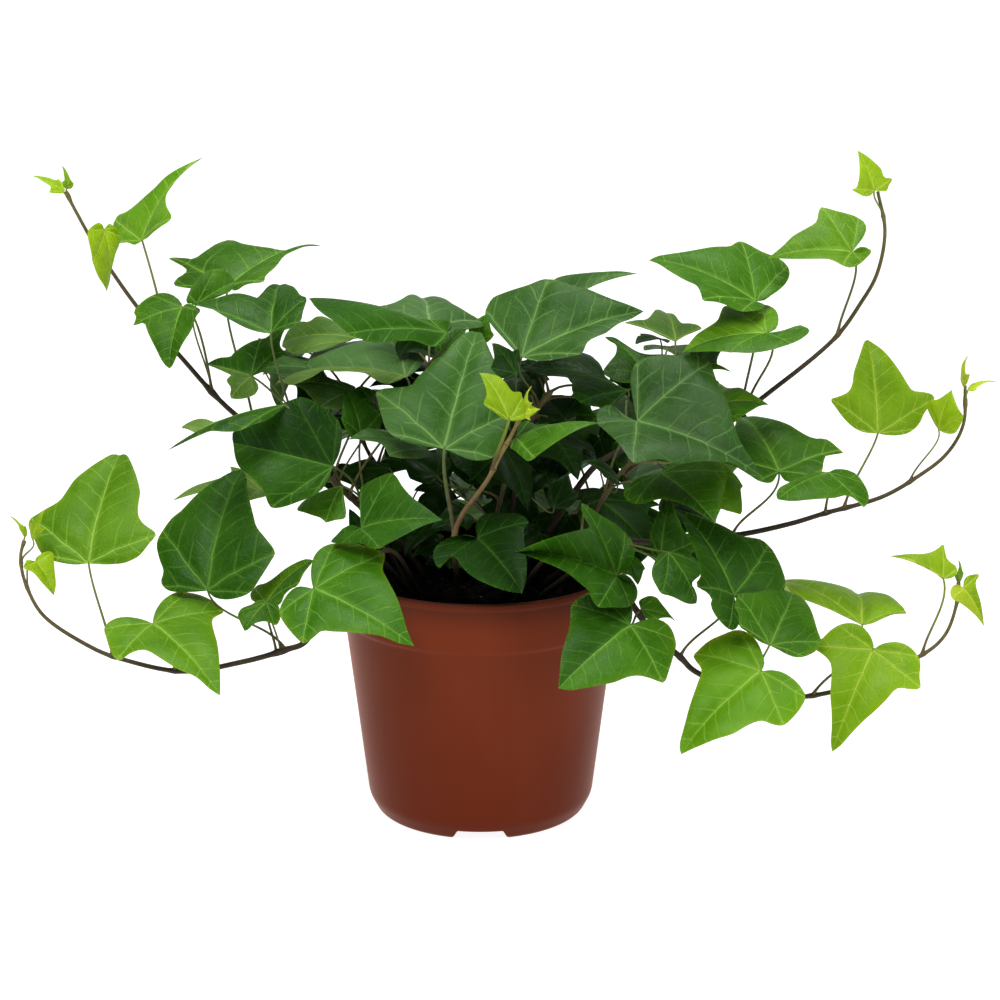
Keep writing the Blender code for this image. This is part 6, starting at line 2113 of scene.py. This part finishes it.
@dataclass
class NurseryPot:
    """The thin plastic pot: tapered wall, rim band, notched foot and a floor with drain holes."""

    wall: float = 1.8
    band_step: float = 2.4
    notches: int = 3
    notch_width: float = 24.6
    notch_slant: float = 3.4
    notch_height: float = 4.4
    notch_ring: float = 45.0
    foot_inside: float = 34.0
    drains: int = 6
    drain_radius: float = 3.5
    drain_ring: float = 26.0
    steps: int = 180
    sharp: float = 32.0

    def radius(self, height: float) -> float:
        """The outer radius under the band at a height."""
        top = POT_HEIGHT - POT_BAND_HEIGHT
        return POT_BASE_RADIUS + (POT_RIM_RADIUS - self.band_step - POT_BASE_RADIUS) * (height / top)

    def profile(self) -> Array:
        """The wall's closed section, down the outside, under the foot and up the inside."""
        band = POT_HEIGHT - POT_BAND_HEIGHT
        rim, base = POT_RIM_RADIUS, POT_BASE_RADIUS
        corners = [
            (rim - 1.2, POT_HEIGHT, 0), (rim, POT_HEIGHT, 0.9), (rim, POT_HEIGHT - 2.6, 0.6),
            (rim - 0.35, POT_HEIGHT - 3.4, 0.6), (self.radius(band) + 0.9, band + 0.9, 1.3),
            (self.radius(band), band - 0.4, 1.1), (self.radius(40), 40.0, 0), (self.radius(7), 7.0, 2.4),
            (base - 1.0, 3.4, 1.6), (base - 2.3, 1.0, 0.9), (base - 3.6, 0.0, 0.6),
            (base - 8.5, 0.0, 0.5), (base - 9.5, 4.6, 0.8), (14.5, 4.6, 0.8), (13.0, 0.0, 0.8),
            (0.0, 0.0, 0), (0.0, 6.6, 0), (base - 5.5, 6.6, 2.0), (self.radius(10) - self.wall, 10.0, 2.0),
            (self.radius(band) - self.wall, band, 3.0), (rim - self.wall - 0.6, POT_HEIGHT - 1.0, 1.0),
            (rim - self.wall - 0.2, POT_HEIGHT, 0.5), (rim - 1.2, POT_HEIGHT, 0)]
        return rounded([c[:2] for c in corners], [c[2] for c in corners])

    def build(self) -> None:
        """Turn the section about the pot's axis, raise the foot at its notches and cut the drain holes.

        A point of the foot at distance x from a notch's middle line is raised to the notch's height,
        or to less near the notch's side, which slants.
        """
        profile = self.profile()
        half, slant = self.notch_width / 2, self.notch_slant
        edge = [math.asin((half - share * slant) / self.notch_ring) for share in (0.0, 0.3, 0.7, 1.0)]
        apart = 360 / self.notches
        marks = [math.radians(-90 + apart * k) + sign * e
                 for k in range(self.notches) for e in edge for sign in (1, -1)]
        turns = np.unique(np.round(np.concatenate([
            np.linspace(-math.pi, math.pi, self.steps, endpoint=False),
            (np.array(marks) + math.pi) % (2 * math.pi) - math.pi]), 5))
        r, z = profile[:, 0][:, None], profile[:, 1][:, None]
        nearest = (np.degrees(turns) + 90 + apart / 2) % apart - apart / 2
        x = np.abs(self.notch_ring * np.sin(np.radians(np.clip(nearest, -90, 90))))[None]
        raised = np.clip((half - x) / slant, 0, 1)
        raised = self.notch_height * raised * raised * (3 - 2 * raised)
        height = np.where((r > self.foot_inside) & (z < self.notch_height), np.maximum(z, raised), z + 0 * x)
        points = np.stack([r * np.cos(turns), r * np.sin(turns), height], -1).reshape(-1, 3)
        gathering = Gathering()
        gathering.add(points, grid_faces(len(profile), len(turns), closed=True)[:, ::-1], {}, {})
        pot = gathering.build("nursery_pot", PotFinish().build(), "pot", self.sharp, ["pot"])
        self.drain(pot)

    def drain(self, pot: bpy.types.Object) -> None:
        """Cut the ring of drain holes through the floor, with cylinders joined in one cutter."""
        cutter = bmesh.new()
        for index in range(self.drains):
            turn = math.radians(-90 + 360 / self.drains * index)
            place = Vector((math.cos(turn), math.sin(turn), 0)) * self.drain_ring * MM
            matrix = Matrix.Translation(place + Vector((0, 0, 0.0055)))
            bmesh.ops.create_cone(cutter, cap_ends=True, segments=28, radius1=self.drain_radius * MM,
                                  radius2=self.drain_radius * MM, depth=0.007, matrix=matrix)
        data = bpy.data.meshes.new("drain_cutter")
        cutter.to_mesh(data)
        cutter.free()
        tool = linked("drain_cutter", data)
        cut = pot.modifiers.new("drain", "BOOLEAN")
        cut.operation, cut.object, cut.solver = "DIFFERENCE", tool, "EXACT"
        bpy.context.view_layer.update()
        mesh = bpy.data.meshes.new_from_object(
            pot.evaluated_get(bpy.context.evaluated_depsgraph_get()))
        pot.modifiers.clear()
        pot.data = mesh
        mesh.set_sharp_from_angle(angle=math.radians(self.sharp))
        bpy.data.objects.remove(tool)


@dataclass
class Peat:
    """The peat fill: an uneven top strewn with crumbs and a few pale specks."""

    crumbs: int = 1100
    pale_share: float = 0.03
    crumb_rings: int = 5
    crumb_sides: int = 6
    seed: int = 5

    @staticmethod
    def roughness(x: Array, y: Array) -> Array:
        """Height of the top over its level: a few slanted waves of falling size."""
        waves = [(0.9, 0.21, 0.13, 0.4), (0.7, -0.17, 0.31, 2.1), (0.45, 0.53, -0.41, 1.1),
                 (0.3, 0.9, 0.77, 5.0), (0.2, -1.5, 1.2, 3.3)]
        return sum(a * np.sin(p * x + q * y + c) for a, p, q, c in waves)

    def body(self, gathering: Gathering, pot: NurseryPot) -> None:
        """Add the fill: a disc of rings with an uneven top, and a tapered side and floor under it."""
        rim = pot.radius(POT_HEIGHT - POT_BAND_HEIGHT) - pot.wall - 0.5
        radii = np.concatenate([np.linspace(0.0, rim - 0.6, 40), [rim - 0.1, rim + 0.3]])
        heights = np.full(len(radii), SOIL_TOP)
        heights[-2:] = [SOIL_TOP - 0.6, SOIL_TOP - 2.0]
        low = [(pot.radius(60.0) - pot.wall - 0.6, 60.0), (pot.radius(10.0) - pot.wall - 0.7, 10.0),
               (POT_BASE_RADIUS - 6.2, 7.1), (0.0, 7.1)]
        r = np.concatenate([radii, [p[0] for p in low]])[:, None]
        z = np.concatenate([heights, [p[1] for p in low]])[:, None]
        turns = np.linspace(0, 2 * math.pi, 120, endpoint=False)[None]
        x, y = r * np.cos(turns), r * np.sin(turns)
        rough = self.roughness(x, y) * np.where(z > SOIL_TOP - 3, np.clip((rim - r) / 4.0, 0.15, 1), 0)
        points = np.stack([x, y, z + rough], -1).reshape(-1, 3)
        # The peat's near black is its own dark brown deepened with painted shade from the leaves over it
        gathering.add(points, grid_faces(len(r), turns.shape[1], closed=True)[:, ::-1],
                      {"crumb_color": np.array([paint(9, 7, 6)])}, {})

    def strew(self, gathering: Gathering, pot: NurseryPot) -> None:
        """Add the crumbs: small lumps, each a ball of five by six points pulled out of round."""
        rng = np.random.default_rng(self.seed)
        rim = pot.radius(POT_HEIGHT - POT_BAND_HEIGHT) - pot.wall - 2.0
        n, rings, sides = self.crumbs, self.crumb_rings, self.crumb_sides
        reach, turn = rim * np.sqrt(rng.random(n)), rng.random(n) * 2 * math.pi
        x, y = reach * np.cos(turn), reach * np.sin(turn)
        size = rng.gamma(3.0, 0.30, n) + 0.35
        pale = rng.random(n) < self.pale_share
        size = np.where(pale, rng.uniform(0.7, 1.3, n), np.minimum(size, 2.3))
        lat = np.linspace(-math.pi / 2, math.pi / 2, rings)[:, None]
        lon = np.linspace(0, 2 * math.pi, sides, endpoint=False)[None]
        ball = np.stack([np.cos(lat) * np.cos(lon), np.cos(lat) * np.sin(lon), np.sin(lat) + 0 * lon], -1)
        out = rng.uniform(0.72, 1.25, (n, rings, sides))
        out[:, 0], out[:, -1] = out[:, 0, :1], out[:, -1, :1]
        stretch = rng.uniform(0.55, 1.3, (n, 1, 1, 3))
        places = np.stack([x, y, SOIL_TOP + self.roughness(x, y) + size * 0.2], -1)[:, None, None]
        points = places + ball[None] * out[..., None] * stretch * size[:, None, None, None]
        faces = grid_faces(rings, sides, closed=True)
        every = (faces[None] + (np.arange(n) * rings * sides)[:, None, None]).reshape(-1, 3)
        # The crumbs are painted near black too, partly as shade under the leaves; only the pale specks are
        # lighter
        browns = np.array([paint(*c) for c in ((9, 7, 6), (14, 11, 8), (20, 15, 11), (6, 5, 5))])
        color = browns[rng.integers(len(browns), size=n)]
        color[pale] = paint(110, 104, 90)
        gathering.add(points.reshape(-1, 3), every,
                      {"crumb_color": np.repeat(color, rings * sides, axis=0)}, {})

    def build(self, pot: NurseryPot) -> None:
        """Make the fill and its crumbs as one piece."""
        gathering = Gathering()
        self.body(gathering, pot)
        self.strew(gathering, pot)
        gathering.build("peat_fill", PeatFinish().build(), "soil", 40.0, ["soil"])


@dataclass
class Studio:
    """The plain pale floor, the soft lights and the picture's tone."""

    floor_radius: float = 60.0
    light_size: float = 1.0

    def light(self, name: str, place: tuple[float, float, float], power: float) -> None:
        """One square soft light that looks at the plant."""
        data = bpy.data.lights.new(name, "AREA")
        data.shape, data.size, data.energy = "SQUARE", self.light_size, power
        lamp = linked(name, data)
        lamp.location = place
        lamp.rotation_mode = "QUATERNION"
        lamp.rotation_quaternion = (Vector((0, 0, 0.13)) - Vector(place)).to_track_quat("-Z", "Y")

    def build(self) -> None:
        """Make the floor, the lights and the world."""
        data = bpy.data.meshes.new("studio_floor")
        disc = bmesh.new()
        bmesh.ops.create_circle(disc, cap_ends=True, radius=self.floor_radius, segments=96)
        disc.to_mesh(data)
        disc.free()
        data.materials.append(FloorFinish().build())
        floor = linked("studio_floor", data)
        self.light("key", (-0.6, -1.2, 2.0), 34.0)
        self.light("fill", (1.6, -1.0, 1.2), 12.0)
        self.light("top", (0.1, 0.3, 1.9), 26.0)
        world = bpy.data.worlds.new("studio")
        world.use_nodes = True
        world.node_tree.nodes["Background"].inputs["Color"].default_value = (1.0, 1.0, 1.0, 1.0)
        world.node_tree.nodes["Background"].inputs["Strength"].default_value = 0.30
        bpy.context.scene.world = world
        bpy.context.scene.view_settings.view_transform = "Standard"


def main() -> None:
    """Build the studio, the pot, the peat and the plant in order."""
    logging.basicConfig(level=logging.INFO, format="%(name)s %(message)s")
    EYE.build()
    Studio().build()
    pot = NurseryPot()
    pot.build()
    Peat().build(pot)
    Plant().build()
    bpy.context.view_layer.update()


if __name__ == "__main__":
    main()
